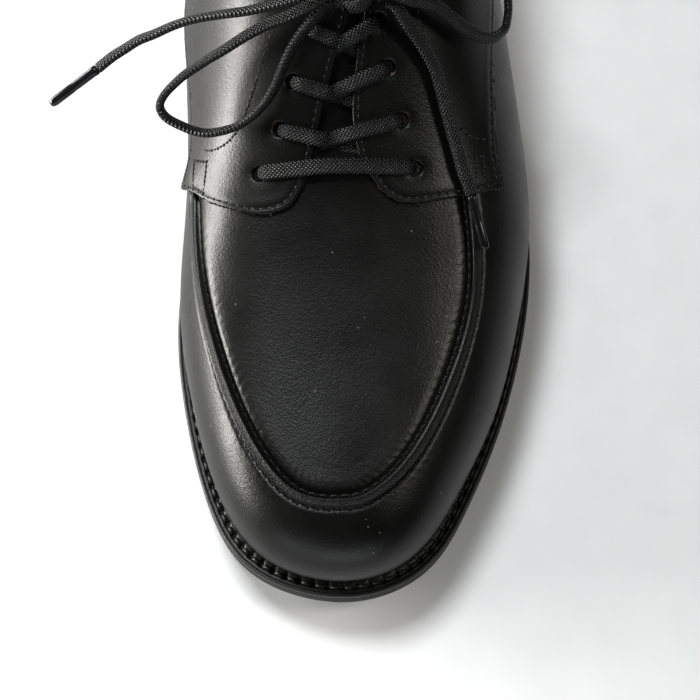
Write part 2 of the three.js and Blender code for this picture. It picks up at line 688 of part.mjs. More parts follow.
function welt() {
  const foot = OUTSOLE_THICK + CLEARANCE;
  const top = OUTSOLE_THICK + WELT_THICK;
  return soleSolid([
    soleRing(0, foot),
    soleRing(0, top - EDGE_ROUND),
    soleRing(EDGE_ROUND, top),
    soleRing(WELT_WIDTH, top),
    soleRing(WELT_WIDTH, foot),
  ], true);
}

const insole = () => soleSolid([
  soleRing(INSOLE_INSET, OUTSOLE_THICK + CLEARANCE),
  soleRing(INSOLE_INSET, OUTSOLE_THICK + CLEARANCE + INSOLE_THICK),
]);

const flatFloor = () => 0;

// Part of the heel's ring behind its slanting breast.
function behindBreast(solid) {
  const breast = HEEL_BREAST - LENGTH / 2;
  return solid.intersect(throughSide(new THREE.Shape([
    new THREE.Vector2(breast + BREAST_SLANT, 0),
    new THREE.Vector2(LENGTH, 0),
    new THREE.Vector2(LENGTH, HEEL_HEIGHT * 2),
    new THREE.Vector2(breast - BREAST_SLANT, HEEL_HEIGHT * 2),
  ])));
}

const heel = () => behindBreast(soleSolid([
  soleRing(HEEL_INSET, LIFT_THICK + CLEARANCE, flatFloor),
  soleRing(HEEL_INSET, -CLEARANCE),
]));

const heelLift = () => behindBreast(soleSolid([
  soleRing(HEEL_INSET + EDGE_ROUND, -EDGE_ROUND, flatFloor),
  soleRing(HEEL_INSET, EDGE_ROUND, flatFloor),
  soleRing(HEEL_INSET, LIFT_THICK, flatFloor),
]));

const LEATHER = { color: 0x17171a, roughness: 0.42, metalness: 0 };
const RUBBER = { color: 0x121213, roughness: 0.6, metalness: 0 };
const EDGE = { color: 0x1b1a1a, roughness: 0.5, metalness: 0 };
const LINING = { color: 0x8a6a48, roughness: 0.7, metalness: 0 };
const LACE = { color: 0x131314, roughness: 0.5, metalness: 0 };
const TIP = { color: 0x202022, roughness: 0.3, metalness: 0 };

const shoe = new THREE.Group();

function addPiece(name, solid, look) {
  const { vertProperties, triVerts } = solid.getMesh();
  const geometry = new THREE.BufferGeometry();
  geometry.setAttribute('position', new THREE.BufferAttribute(Float32Array.from(vertProperties), 3));
  geometry.setIndex(new THREE.BufferAttribute(Uint32Array.from(triVerts), 1));
  const mesh = new THREE.Mesh(geometry, new THREE.MeshStandardMaterial(look));
  mesh.name = name;
  shoe.add(mesh);
}

addPiece('outsole', outsole(), RUBBER);
addPiece('heel', heel(), EDGE);
addPiece('heel_lift', heelLift(), RUBBER);
addPiece('welt', welt(), EDGE);
addPiece('insole', insole(), LINING);
addPiece('upper', upper(), LEATHER);
addPiece('tongue', tongue(), LEATHER);
addPiece('quarter_inner', punch(quarter(INNER_FACING, INNER_HEM, -1)), LEATHER);
addPiece('quarter_outer', punch(quarter(OUTER_FACING, OUTER_HEM, 1)), LEATHER);
addPiece('backstrip', backstrip(), LEATHER);

const [firstPair, ...otherPairs] = EYELETS;
const gapAt = (pair) => ({ around: (pair.outer + pair.inner) / 2, climb: 0.985 });
addPiece('lace_bar', laceAcross(firstPair, gapAt(firstPair), BAR_STEPS), LACE);
otherPairs.forEach((pair, i) => addPiece(`lace_cross_${i + 1}`, laceAcross(pair, CROSSINGS[i], CROSS_STEPS), LACE));
addPiece('lace_knot', knot(), LACE);
addPiece('lace_end_inner', freeLace(INNER_END, CORD_WIDTH, CORD_THICK), LACE);
addPiece('lace_end_outer', freeLace(OUTER_END, CORD_WIDTH, CORD_THICK), LACE);
addPiece('lace_loop_inner', freeLace(INNER_LOOP, CORD_WIDTH, CORD_THICK), LACE);
addPiece('lace_loop_outer', freeLace(OUTER_LOOP, CORD_WIDTH, CORD_THICK), LACE);
addPiece('aglet_inner', freeLace(INNER_TIP, AGLET, AGLET), TIP);
addPiece('aglet_outer', freeLace(OUTER_TIP, AGLET, AGLET), TIP);

export default shoe;
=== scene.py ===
import math

import bpy
import numpy as np
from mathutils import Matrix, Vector, kdtree


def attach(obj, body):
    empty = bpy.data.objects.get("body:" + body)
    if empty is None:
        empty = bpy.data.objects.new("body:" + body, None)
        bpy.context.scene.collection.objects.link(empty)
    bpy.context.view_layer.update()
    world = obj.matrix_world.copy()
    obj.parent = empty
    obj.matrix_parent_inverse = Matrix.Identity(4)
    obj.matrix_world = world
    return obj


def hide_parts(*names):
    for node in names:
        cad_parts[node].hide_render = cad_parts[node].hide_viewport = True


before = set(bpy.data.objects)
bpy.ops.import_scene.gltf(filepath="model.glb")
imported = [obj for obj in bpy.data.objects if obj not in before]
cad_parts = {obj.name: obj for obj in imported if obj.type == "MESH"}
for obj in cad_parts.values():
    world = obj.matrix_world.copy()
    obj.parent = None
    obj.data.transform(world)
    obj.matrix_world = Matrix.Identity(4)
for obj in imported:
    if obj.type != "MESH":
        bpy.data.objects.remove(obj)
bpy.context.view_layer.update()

# A left apron toe derby. Sizes are in millimetres, +Z up, toe towards -Y, inner side at -X.

MM = 0.001

# Camera: tilted from straight above, with the lens of the photograph
CAMERA_AT = (-1.05, -260.55, 724.8)
CAMERA_TILT = 15
CAMERA_LENS = 119.9

# Main sizes, as in the solids
LENGTH = 300
BALL_WIDTH = 112
TOE_SPRING = 11.5
HEEL_HEIGHT = 27
INSTEP_HEIGHT = 100
BACK_HEIGHT = 101
OVERHANG = 11
TOE_RIDGE = 40
HEEL_RIDGE = 38
OUTSOLE_THICK = 8
WELT_THICK = 3.4
WELT_WIDTH = 8.9
FEATHER_INSET = 6.5
INSOLE_INSET = 9.2
INSOLE_THICK = 5.4
LIFT_THICK = 6
HEEL_INSET = 0.8
HEEL_BREAST = 228
BREAST_SLANT = 5
CLEARANCE = 0.3
WALL = 1.8
OVERLAY = 1.5
TONGUE_THICK = 2
BACKSTRIP_WIDTH = 16
EYELET = 4.6
CORD_WIDTH = 4
CORD_THICK = 2.9
AGLET = 3
RIDGE_ENDS = (5.9, 6.08)
KNOT_AT = (1.5, 14, 99.9)

# along, outer, inner, outerOver, innerOver
OUTLINE = [
    (0, -0.031, -0.031, -0.35, -0.35),
    (0.012, 0.116, -0.193, -0.36, -0.36),
    (0.047, 0.236, -0.325, -0.4, -0.4),
    (0.11, 0.33, -0.411, -0.33, -0.34),
    (0.193, 0.42, -0.468, -0.24, -0.27),
    (0.293, 0.486, -0.497, -0.24, -0.16),
    (0.393, 0.504, -0.468, -0.1, 0.04),
    (0.493, 0.468, -0.42, 0.03, 0.5),
    (0.593, 0.411, -0.371, 0.16, 1),
    (0.693, 0.371, -0.326, 0.09, 0.84),
    (0.793, 0.357, -0.299, -0.13, 0.42),
    (0.887, 0.326, -0.268, -0.27, 0),
    (0.963, 0.223, -0.161, -0.31, -0.31),
    (1, 0.027, 0.027, -0.31, -0.31),
]
# spring, heel, crest, centre
PROFILE = [
    (1, 0, 0.46, -0.036),
    (0.365, 0, 0.49, -0.036),
    (0.05, 0, 0.52, -0.034),
    (-0.035, 0, 0.57, -0.032),
    (-0.035, 0, 0.66, -0.032),
    (0, 0.096, 0.81, -0.027),
    (0, 0.352, 0.975, -0.013),
    (0, 0.667, 1.1, 0.004),
    (0, 0.852, 1.17, 0.022),
    (0, 0.944, 1.19, 0.036),
    (0, 1, 1.2, 0.04),
]
# under, inward, rise
FORE_SECTION = [
    (1, 0, 0),
    (0.35, 0, 0.12),
    (0, 0, 0.28),
    (0, 0.025, 0.48),
    (0, 0.1, 0.69),
    (0, 0.25, 0.86),
    (0, 0.47, 0.955),
    (0, 0.73, 0.99),
    (0, 1, 1),
]
# under, inward, rise
WAIST_SECTION = [
    (1, 0, 0),
    (0.42, 0, 0.1),
    (0.06, 0, 0.22),
    (0, 0.02, 0.36),
    (0, 0.1, 0.53),
    (0, 0.23, 0.7),
    (0, 0.42, 0.86),
    (0, 0.69, 0.968),
    (0, 1, 1),
]
# under, inward, rise
BACK_SECTION = [
    (1, 0, 0),
    (0.3, 0, 0.1),
    (0, 0, 0.24),
    (0, 0.03, 0.38),
    (0, 0.1, 0.52),
    (0, 0.19, 0.66),
    (0, 0.34, 0.8),
    (0, 0.62, 0.94),
    (0, 1, 1),
]
# outer, inner
APRON = [
    (0.817, 0.817),
    (0.807, 0.798),
    (0.777, 0.755),
    (0.71, 0.69),
    (0.665, 0.62),
    (0.64, 0.555),
    (0.69, 0.49),
    (0.72, 0.46),
]
# across, along
INNER_FACING = [
    (-0.57, 0.43),
    (-0.46, 0.413),
    (-0.383, 0.384),
    (-0.29, 0.368),
    (-0.23, 0.365),
    (-0.174, 0.371),
    (-0.14, 0.386),
    (-0.114, 0.41),
    (-0.085, 0.455),
    (-0.04, 0.512),
    (-0.012, 0.545),
    (-0.008, 0.6),
]
# across, along
OUTER_FACING = [
    (0.5, 0.42),
    (0.388, 0.398),
    (0.291, 0.385),
    (0.174, 0.375),
    (0.118, 0.376),
    (0.076, 0.385),
    (0.054, 0.396),
    (0.022, 0.412),
    (0, 0.442),
    (-0.002, 0.475),
    (0.012, 0.515),
    (0.027, 0.545),
    (0.031, 0.6),
]
# along, height
INNER_HEM = [
    (0.38, 0.42),
    (0.46, 0.455),
    (0.59, 0.5),
    (0.7, 0.56),
    (0.83, 0.62),
    (1.02, 0.67),
]
# along, height
OUTER_HEM = [
    (0.38, 0.51),
    (0.42, 0.555),
    (0.47, 0.585),
    (0.58, 0.635),
    (0.7, 0.65),
    (0.83, 0.66),
    (1.02, 0.67),
]
# along, height
TOPLINE = [
    (0.6, 1.25),
    (0.607, 0.99),
    (0.65, 0.925),
    (0.72, 0.875),
    (0.79, 0.862),
    (0.87, 0.895),
    (0.94, 0.965),
    (0.985, 1),
    (1.05, 1.01),
]
# centre, half, along
THROAT = [
    (-0.045, 0.085, 0.437),
    (-0.04, 0.075, 0.48),
    (-0.016, 0.066, 0.515),
    (0.01, 0.057, 0.55),
    (0.012, 0.057, 0.63),
]
# centre, half, along
TONGUE = [
    (-0.045, 0.1, 0.385),
    (-0.045, 0.15, 0.41),
    (-0.03, 0.19, 0.5),
    (0, 0.23, 0.6),
    (0.005, 0.23, 0.635),
    (0.005, 0.17, 0.655),
]
# outer, outerClimb, inner, innerClimb
EYELETS = [
    (6.1, 0.835, 6.07, 0.775),
    (6.55, 0.87, 6.47, 0.838),
    (7.03, 0.905, 6.9, 0.877),
    (7.45, 0.927, 7.38, 0.917),
    (7.85, 0.935, 7.82, 0.937),
]
INNER_END = [
    (-6.3, 14.4, 102.7), (-8.5, 14.3, 102.7), (-12, 13.2, 102.3), (-16.3, 11.8, 101.3),
    (-23.8, 10.2, 99.5), (-31.4, 9.2, 97.5), (-39.4, 9.1, 95), (-47.4, 8.6, 92.5),
    (-53.1, 7.5, 90.5), (-58.5, 5.8, 88.5), (-63, 4.6, 87), (-66.9, 2.7, 85.5),
    (-71.1, 0.5, 84), (-75.3, -2.3, 82.2),
]
INNER_TIP = [
    (-75.6, -2.5, 82), (-89.8, -10.8, 75),
]
INNER_LOOP = [
    (-6.3, 13.4, 99.4), (-8.5, 13.2, 99.3), (-12.6, 11, 97.9), (-18.7, 8.8, 95.2),
    (-25.2, 7.5, 92), (-31.7, 4.8, 89.5), (-38.2, 1.4, 87), (-42.8, -0.4, 84.5),
    (-46.4, -2.1, 82.5), (-50, -3.8, 80.5), (-53.4, -6.2, 78.5), (-55.9, -8.2, 76.5),
    (-57.4, -10.5, 75), (-57.2, -12.5, 73.5), (-55.2, -14.4, 72), (-51.1, -16.3, 71),
    (-47.2, -17.7, 70.5), (-43.3, -18.5, 71), (-39, -18.3, 72.3), (-35.1, -17.7, 74),
    (-31.5, -16.3, 76), (-28.2, -14.2, 78), (-25.4, -11.7, 80.5), (-23, -8.1, 82.5),
    (-20.9, -3.7, 85), (-19.2, -0.5, 87), (-17.1, 2.8, 89), (-14.7, 5.6, 91.2),
    (-12.1, 8, 93.4), (-8.5, 11.4, 96.2), (-6.3, 11.8, 96.3),
]
OUTER_LOOP = [
    (9.3, 13.6, 99.8), (11.5, 13.5, 99.8), (14.5, 12.8, 99.1), (17.6, 12.4, 97.8),
    (22, 12.6, 95.5), (25.3, 11.8, 93), (28.6, 10.3, 90), (31.7, 9, 87), (35.1, 8.1, 84),
    (37.6, 7.8, 81.5), (39.8, 8.4, 79.5), (42.2, 9.3, 78), (43.8, 10.7, 77), (45.4, 12.8, 76.5),
    (46, 15.5, 77), (46.3, 18.6, 78), (45.9, 22.3, 80), (44, 26.4, 83), (40.2, 29.4, 86.6),
    (35, 31, 90.4), (29, 30.6, 94.4), (23, 28.2, 98), (17.8, 23.6, 101), (14, 18.6, 102.7),
    (11.5, 15.4, 103), (9.3, 15.2, 103),
]
OUTER_END = [
    (9.3, 12.4, 96.5), (11.3, 12.1, 96.4), (13.4, 10.3, 94.9), (16, 7.3, 91.9),
    (19.6, 3.7, 87.5), (22.6, 0, 83.5), (24.5, -3.2, 80.6), (25.7, -6.6, 78.1),
    (27.3, -11.9, 74.9), (29.1, -17.7, 71.8), (30.9, -23.1, 69.3), (32.4, -28.4, 67.2),
    (34, -32.1, 65.4), (35.2, -35.4, 64),
]
OUTER_TIP = [
    (35.3, -35.7, 63.9), (39.5, -50.6, 58.2),
]


# Form of the last

ROWS = len(OUTLINE) - 1
HALF = ROWS
COUNT = 2 * ROWS


def smoothstep(low, high, value):
    share = np.clip((value - low) / (high - low), 0, 1)
    return share * share * (3 - 2 * share)


def spline_through(rows, kind="open"):
    """Cubic spline through the rows of a table, one row per unit."""
    rows = np.array(rows, float)
    count = len(rows)

    def with_ends(controls):
        if kind == "closed":
            return np.concatenate([controls[-1:], controls, controls[:2]])
        first = 2 * controls[:1] - controls[1:2]
        last = 2 * controls[-1:] - controls[-2:-1]
        if kind == "crest":
            last = controls[-2:-1] * (1, -1, 1) + (0, 2, 0)
        return np.concatenate([first, controls, last, last])

    controls = rows.copy()
    for _ in range(50):
        around = with_ends(controls)
        controls = controls + rows - (around[:count] + 4 * controls + around[2:count + 2]) / 6
    around = with_ends(controls)

    def at(place):
        place = np.asarray(place, float)
        place = np.mod(place, count) if kind == "closed" else np.clip(place, 0, count - 1)
        i = np.minimum(np.floor(place).astype(int), count - (1 if kind == "closed" else 2))
        f = (place - i)[..., None]
        return (
            (1 - f) ** 3 * around[i]
            + (3 * f**3 - 6 * f**2 + 4) * around[i + 1]
            + (-3 * f**3 + 3 * f**2 + 3 * f + 1) * around[i + 2]
            + f**3 * around[i + 3]
        ) / 6

    return at


ring_at = spline_through(
    [(row[0], row[1], row[3]) for row in OUTLINE]
    + [(row[0], row[2], row[4]) for row in OUTLINE[-2:0:-1]],
    "closed",
)
profile_at = spline_through(PROFILE)
sections = [spline_through(table, "crest") for table in (FORE_SECTION, WAIST_SECTION, BACK_SECTION)]
apron_at = spline_through(APRON)


def profile(along):
    return profile_at(np.asarray(along) / LENGTH * (len(PROFILE) - 1))


def underside(along):
    row = profile(along)
    return np.maximum(0, row[..., 0] * TOE_SPRING + row[..., 1] * HEEL_HEIGHT)


def crest_height(along):
    return profile(along)[..., 2] * INSTEP_HEIGHT


def crest_across(along):
    return profile(along)[..., 3] * BALL_WIDTH


def sole_edge(place):
    step = 1e-3
    row = ring_at(place)
    slope = ring_at(np.asarray(place) + step) - ring_at(np.asarray(place) - step)
    out = np.stack([slope[..., 0] * LENGTH, -slope[..., 1] * BALL_WIDTH], -1)
    out /= np.linalg.norm(out, axis=-1, keepdims=True)
    edge = np.stack([row[..., 1] * BALL_WIDTH, row[..., 0] * LENGTH], -1)
    return edge, out, row[..., 2] * OVERHANG


def on_last(place, climb):
    """Point of the last, at a place around the ring and a climb from the feather line to the crest."""
    place, climb = np.broadcast_arrays(np.asarray(place, float), np.asarray(climb, float))
    edge, out, over = sole_edge(place)
    feather = edge - out * FEATHER_INSET
    widest = edge + out * over[..., None]
    along = edge[..., 1]
    ridge = np.hypot(along, TOE_RIDGE) - np.hypot(LENGTH - along, HEEL_RIDGE) + LENGTH - along
    crest = np.stack([crest_across(ridge), ridge], -1)
    waist = smoothstep(0.317, 0.55, along / LENGTH)
    back = smoothstep(0.583, 0.817, along / LENGTH)
    fore_row, waist_row, back_row = [section(climb * (len(FORE_SECTION) - 1)) for section in sections]
    row = (
        fore_row * (1 - waist)[..., None]
        + waist_row * (waist * (1 - back))[..., None]
        + back_row * (waist * back)[..., None]
    )
    under, inward, rise = row[..., 0:1], row[..., 1:2], row[..., 2]
    plan = widest * (1 - under - inward) + feather * under + crest * inward
    foot = underside(plan[..., 1]) + OUTSOLE_THICK + WELT_THICK + CLEARANCE
    height = foot + (crest_height(plan[..., 1]) - foot) * rise
    return np.stack([plan[..., 0], plan[..., 1] - LENGTH / 2, height], -1)


def unit(vectors):
    return vectors / np.maximum(np.linalg.norm(vectors, axis=-1, keepdims=True), 1e-12)


def out_of_last(place, climb):
    step = 0.004
    place, climb = np.broadcast_arrays(np.asarray(place, float), np.asarray(climb, float))
    up = on_last(place, np.minimum(climb + step, 1)) - on_last(place, np.maximum(climb - step, 0))
    side = np.clip(climb, 0, 1 - step)
    around = on_last(place + step, side) - on_last(place - step, side)
    return unit(np.cross(around, up))


# The last as one sheet: station from toe to heel, and reach from the outer foot over the crest (1)
# to the inner foot (2).

def split(station, reach):
    inner = reach > 1
    return np.where(inner, COUNT - station, station), np.where(inner, 2 - reach, reach)


def sheet(station, reach):
    station, reach = np.broadcast_arrays(np.asarray(station, float), np.asarray(reach, float))
    return on_last(*split(station, reach))


def sheet_out(station, reach):
    station, reach = np.broadcast_arrays(np.asarray(station, float), np.asarray(reach, float))
    near = np.abs(reach - 1) < 1e-6
    out = out_of_last(*split(station, reach))
    if near.any():
        other = out_of_last(COUNT - station[near], np.ones(near.sum()))
        out[near] = unit(out[near] + other)
    return out


def off_last_at(place, climb, offset):
    return on_last(place, climb) + out_of_last(place, climb) * offset


def off_sheet(station, reach, offset):
    offset = np.asarray(offset, float)
    return sheet(station, reach) + sheet_out(station, reach) * offset[..., None]


COARSE_STATIONS, COARSE_REACHES = np.meshgrid(
    np.linspace(0.02, 12.98, 163), np.linspace(0.02, 1.98, 99), indexing="ij"
)
COARSE = sheet(COARSE_STATIONS, COARSE_REACHES)


def find(targets, axes, low=0.02, high=1.98):
    """Stations and reaches where two coordinates of the sheet have given values."""
    targets = np.asarray(targets, float)
    allowed = (COARSE_REACHES >= low) & (COARSE_REACHES <= high)
    spots = COARSE[allowed][:, axes]
    starts = np.stack([COARSE_STATIONS[allowed], COARSE_REACHES[allowed]], -1)
    nearest = [np.argmin(((spots - target) ** 2).sum(1)) for target in targets]
    place = starts[nearest]
    step = 1e-4
    for _ in range(12):
        here = sheet(place[:, 0], place[:, 1])[:, axes]
        by_station = (sheet(place[:, 0] + step, place[:, 1])[:, axes] - here) / step
        by_reach = (sheet(place[:, 0], place[:, 1] + step)[:, axes] - here) / step
        jacobian = np.stack([by_station, by_reach], -1)
        wanted = (targets - here)[..., None]
        move = np.linalg.solve(jacobian + 1e-9 * np.eye(2), wanted)[..., 0]
        place = place + np.clip(move, (-0.3, -0.05), (0.3, 0.05))
        place[:, 0] = np.clip(place[:, 0], 0.001, 12.999)
        place[:, 1] = np.clip(place[:, 1], low, high)
    return place


def catmull(points, steps):
    """The curve that the solids' plans and side views are cut with."""
    points = np.array(points, float)
    last = len(points) - 1
    out = []
    for share in np.linspace(0, last, steps + 1):
        i = min(int(share), last - 1)
        f = share - i
        a, b, c, d = (points[min(max(i + k, 0), last)] for k in (-1, 0, 1, 2))
        v0, v1 = (c - a) / 2, (d - b) / 2
        out.append(
            (2 * b - 2 * c + v0 + v1) * f**3 + (-3 * b + 3 * c - 2 * v0 - v1) * f**2 + v0 * f + b
        )
    return np.array(out)


def plan_points(table):
    return [(across * BALL_WIDTH, (along - 0.5) * LENGTH) for across, along in table]


def side_points(table, scale):
    return [((along - 0.5) * LENGTH, height * scale) for along, height in table]


def resample(line, spacing, closed=False):
    """Points at an even spacing along a polyline, with their lengths along it."""
    line = np.asarray(line, float)
    if closed:
        line = np.concatenate([line, line[:1]])
    lengths = np.concatenate([[0], np.cumsum(np.linalg.norm(np.diff(line, axis=0), axis=1))])
    count = max(2, int(round(lengths[-1] / spacing)) + 1)
    wanted = np.linspace(0, lengths[-1], count)
    return np.stack([np.interp(wanted, lengths, line[:, k]) for k in range(line.shape[1])], -1), wanted


def polygon_holds(polygon, points):
    inside = np.zeros(len(points), bool)
    for (ax, ay), (bx, by) in zip(polygon, np.roll(polygon, -1, axis=0)):
        if ay == by:
            continue
        crosses = (ay > points[:, 1]) != (by > points[:, 1])
        inside ^= crosses & (points[:, 0] < (bx - ax) * (points[:, 1] - ay) / (by - ay) + ax)
    return inside


def distance_to(line, points):
    """Distance of each point to a polyline, and the length along it where it is nearest."""
    lengths = np.concatenate([[0], np.cumsum(np.linalg.norm(np.diff(line, axis=0), axis=1))])
    tree = kdtree.KDTree(len(line))
    for i, point in enumerate(line):
        tree.insert(point, i)
    tree.balance()
    nearest = np.array([tree.find(point)[1] for point in points])
    best = np.full(len(points), np.inf)
    along = np.zeros(len(points))
    for shift in (-1, 0):
        i = np.clip(nearest + shift, 0, len(line) - 2)
        start, run = line[i], line[i + 1] - line[i]
        share = ((points - start) * run).sum(1) / np.maximum((run * run).sum(1), 1e-12)
        share = np.clip(share, 0, 1)
        gap = np.linalg.norm(start + run * share[:, None] - points, axis=1)
        closer = gap < best
        best = np.where(closer, gap, best)
        along = np.where(closer, lengths[i] + share * np.linalg.norm(run, axis=1), along)
    return best, along


# Meshes from grids and cuts

def grid_faces(rows, columns):
    i, j = np.meshgrid(np.arange(rows - 1), np.arange(columns - 1), indexing="ij")
    first = (i * columns + j).ravel()
    return np.stack([first, first + columns, first + columns + 1, first + 1], -1).tolist()


def cut(points, faces, column, level, keep_low=False):
    """Splits polygons where a column of the points crosses a level. The low side goes, or stays too."""
    value = points[:, column] - level
    value[np.abs(value) < 0.02] = 0
    high = value >= 0
    made, added, kept = {}, [], []
    count = len(points)
    for face in faces:
        signs = [high[i] for i in face]
        if all(signs):
            kept.append(face)
            continue
        if not any(signs):
            if keep_low:
                kept.append(face)
            continue
        above, below = [], []
        for i, j in zip(face, face[1:] + face[:1]):
            (above if high[i] else below).append(i)
            if high[i] == high[j]:
                continue
            top, bottom = (i, j) if high[i] else (j, i)
            if value[top] == 0:
                k = top
            else:
                k = made.get((top, bottom))
                if k is None:
                    share = value[top] / (value[top] - value[bottom])
                    added.append(points[top] * (1 - share) + points[bottom] * share)
                    k = made[(top, bottom)] = count
                    count += 1
            above.append(k)
            below.append(k)
        for side in (above, below) if keep_low else (above,):
            side = [k for n, k in enumerate(side) if k != side[n - 1]]
            if len(side) > 2:
                kept.append(side)
    return (np.concatenate([points, added]) if added else points), kept


def tidy(points, faces):
    """Drops the points that no face uses."""
    used = sorted({i for face in faces for i in face})
    place = {old: new for new, old in enumerate(used)}
    return points[used], [[place[i] for i in face] for face in faces]


def welded(rows, faces):
    """Joins the sheet's two sides where they meet at the toe and at the heel."""
    first = {}
    place = [first.setdefault(tuple(np.round(spot, 3)), i) for i, spot in enumerate(sheet(rows[:, 0], rows[:, 1]))]
    joined_faces = []
    for face in faces:
        face = [place[i] for i in face]
        face = [k for n, k in enumerate(face) if k != face[n - 1]]
        if len(face) > 2:
            joined_faces.append(face)
    return tidy(rows, joined_faces)


def rim_of(faces):
    """Edges that one face alone uses, in that face's order."""
    edges = set()
    for face in faces:
        for i, j in zip(face, face[1:] + face[:1]):
            if (j, i) in edges:
                edges.discard((j, i))
            else:
                edges.add((i, j))
    return edges


def contour(points, faces, column, level):
    """Lines where a column of the points crosses a level, as rows of the points' columns."""
    value = points[:, column] - level
    high = value > 0
    links = {}
    spots = {}
    for face in faces:
        ends = []
        for i, j in zip(face, face[1:] + face[:1]):
            if high[i] != high[j]:
                key = (min(i, j), max(i, j))
                if key not in spots:
                    share = value[i] / (value[i] - value[j])
                    spots[key] = points[i] * (1 - share) + points[j] * share
                ends.append(key)
        if len(ends) == 2 and ends[0] != ends[1]:
            links.setdefault(ends[0], []).append(ends[1])
            links.setdefault(ends[1], []).append(ends[0])
    lines, seen = [], set()
    for start in sorted(links, key=lambda key: (len(links[key]), key)):
        if start in seen:
            continue
        chain, here = [start], start
        seen.add(start)
        while True:
            ahead = [key for key in links[here] if key not in seen]
            if not ahead:
                break
            here = ahead[0]
            seen.add(here)
            chain.append(here)
        if len(chain) > 4:
            lines.append(np.array([spots[key] for key in chain]))
    return lines


def make_object(name, verts, faces, material, replaces=(), marks=None, flat=False):
    """A piece from points in millimetres. marks are named values on the points, for the material."""
    mesh = bpy.data.meshes.new(name)
    mesh.from_pydata((np.asarray(verts) * MM).tolist(), [], [list(face) for face in faces])
    mesh.validate()
    for key, values in (marks or {}).items():
        values = np.asarray(values, np.float32)
        if values.ndim == 2:
            layer = mesh.attributes.new(key, "FLOAT_VECTOR", "POINT")
            layer.data.foreach_set("vector", values.ravel())
        else:
            layer = mesh.attributes.new(key, "FLOAT", "POINT")
            layer.data.foreach_set("value", values)
    mesh.polygons.foreach_set("use_smooth", [not flat] * len(mesh.polygons))
    piece = bpy.data.objects.new(name, mesh)
    bpy.context.scene.collection.objects.link(piece)
    mesh.materials.append(material)
    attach(piece, "root")
    if replaces:
        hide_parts(*replaces)
    return piece


def shell(top, bottom, faces):
    """Closed piece between two skins that share their faces. Returns points and faces."""
    count = len(top)
    under = [[i + count for i in reversed(face)] for face in faces]
    rim = [[j, i, i + count, j + count] for i, j in rim_of(faces)]
    return np.concatenate([top, bottom]), faces + under + rim

# Materials

class Graph:
    """A material's nodes, added and joined in one call each."""

    def __init__(self, name, **values):
        self.material = bpy.data.materials.new(name)
        self.material.use_nodes = True
        self.tree = self.material.node_tree
        self.shader = self.tree.nodes["Principled BSDF"]
        for key, value in values.items():
            self.shader.inputs[key.replace("_", " ")].default_value = value
        self.place = self.add("ShaderNodeTexCoord").outputs["Object"]

    def add(self, kind, inputs=None, **settings):
        node = self.tree.nodes.new(kind)
        for key, value in settings.items():
            setattr(node, key, value)
        for key, value in (inputs or {}).items():
            self.put(value, node.inputs[key])
        return node

    def put(self, value, socket):
        if isinstance(value, bpy.types.NodeSocket):
            self.tree.links.new(value, socket)
        else:
            socket.default_value = value

    def shade(self, key, value):
        self.put(value, self.shader.inputs[key])

    def math(self, operation, a, b=0.5, c=0.5, clamp=False):
        node = self.add("ShaderNodeMath", {0: a, 1: b, 2: c}, operation=operation, use_clamp=clamp)
        return node.outputs[0]

    def turned(self, scale, angles=(0, 0, 0), place=None):
        first = self.add(
            "ShaderNodeMapping",
            {"Vector": place or self.place, "Rotation": [math.radians(a) for a in angles]},
        )
        return self.add("ShaderNodeVectorMath", {0: first.outputs[0], 1: scale}, operation="MULTIPLY").outputs[0]

    def noise(self, scale, detail=2, rough=0.5, place=None, distortion=0.0):
        node = self.add("ShaderNodeTexNoise", {
            "Vector": place or self.place, "Scale": scale, "Detail": detail,
            "Roughness": rough, "Distortion": distortion,
        })
        return node.outputs["Fac"]

    def cells(self, scale, feature="F1", place=None, randomness=1.0):
        node = self.add("ShaderNodeTexVoronoi", {
            "Vector": place or self.place, "Scale": scale, "Randomness": randomness,
        }, feature=feature)
        return node.outputs["Distance"]

    def fit(self, value, low, high, to_low=0.0, to_high=1.0):
        node = self.add("ShaderNodeMapRange", {
            "Value": value, "From Min": low, "From Max": high, "To Min": to_low, "To Max": to_high,
        }, clamp=True)
        return node.outputs["Result"]

    def mark(self, name):
        return self.add("ShaderNodeAttribute", attribute_name=name).outputs["Fac"]

    def mix(self, share, a, b):
        node = self.add("ShaderNodeMix", data_type="RGBA")
        self.put(share, node.inputs["Factor"])
        self.put(a, node.inputs["A"] if not isinstance(a, tuple) else node.inputs[6])
        self.put(b, node.inputs[7])
        return node.outputs[2]

    def bump(self, height, depth, strength=1.0, normal=None):
        node = self.add("ShaderNodeBump", {"Height": height, "Distance": depth, "Strength": strength})
        if normal is not None:
            self.put(normal, node.inputs["Normal"])
        return node.outputs[0]


BLACK = (0.0075, 0.0075, 0.008, 1)


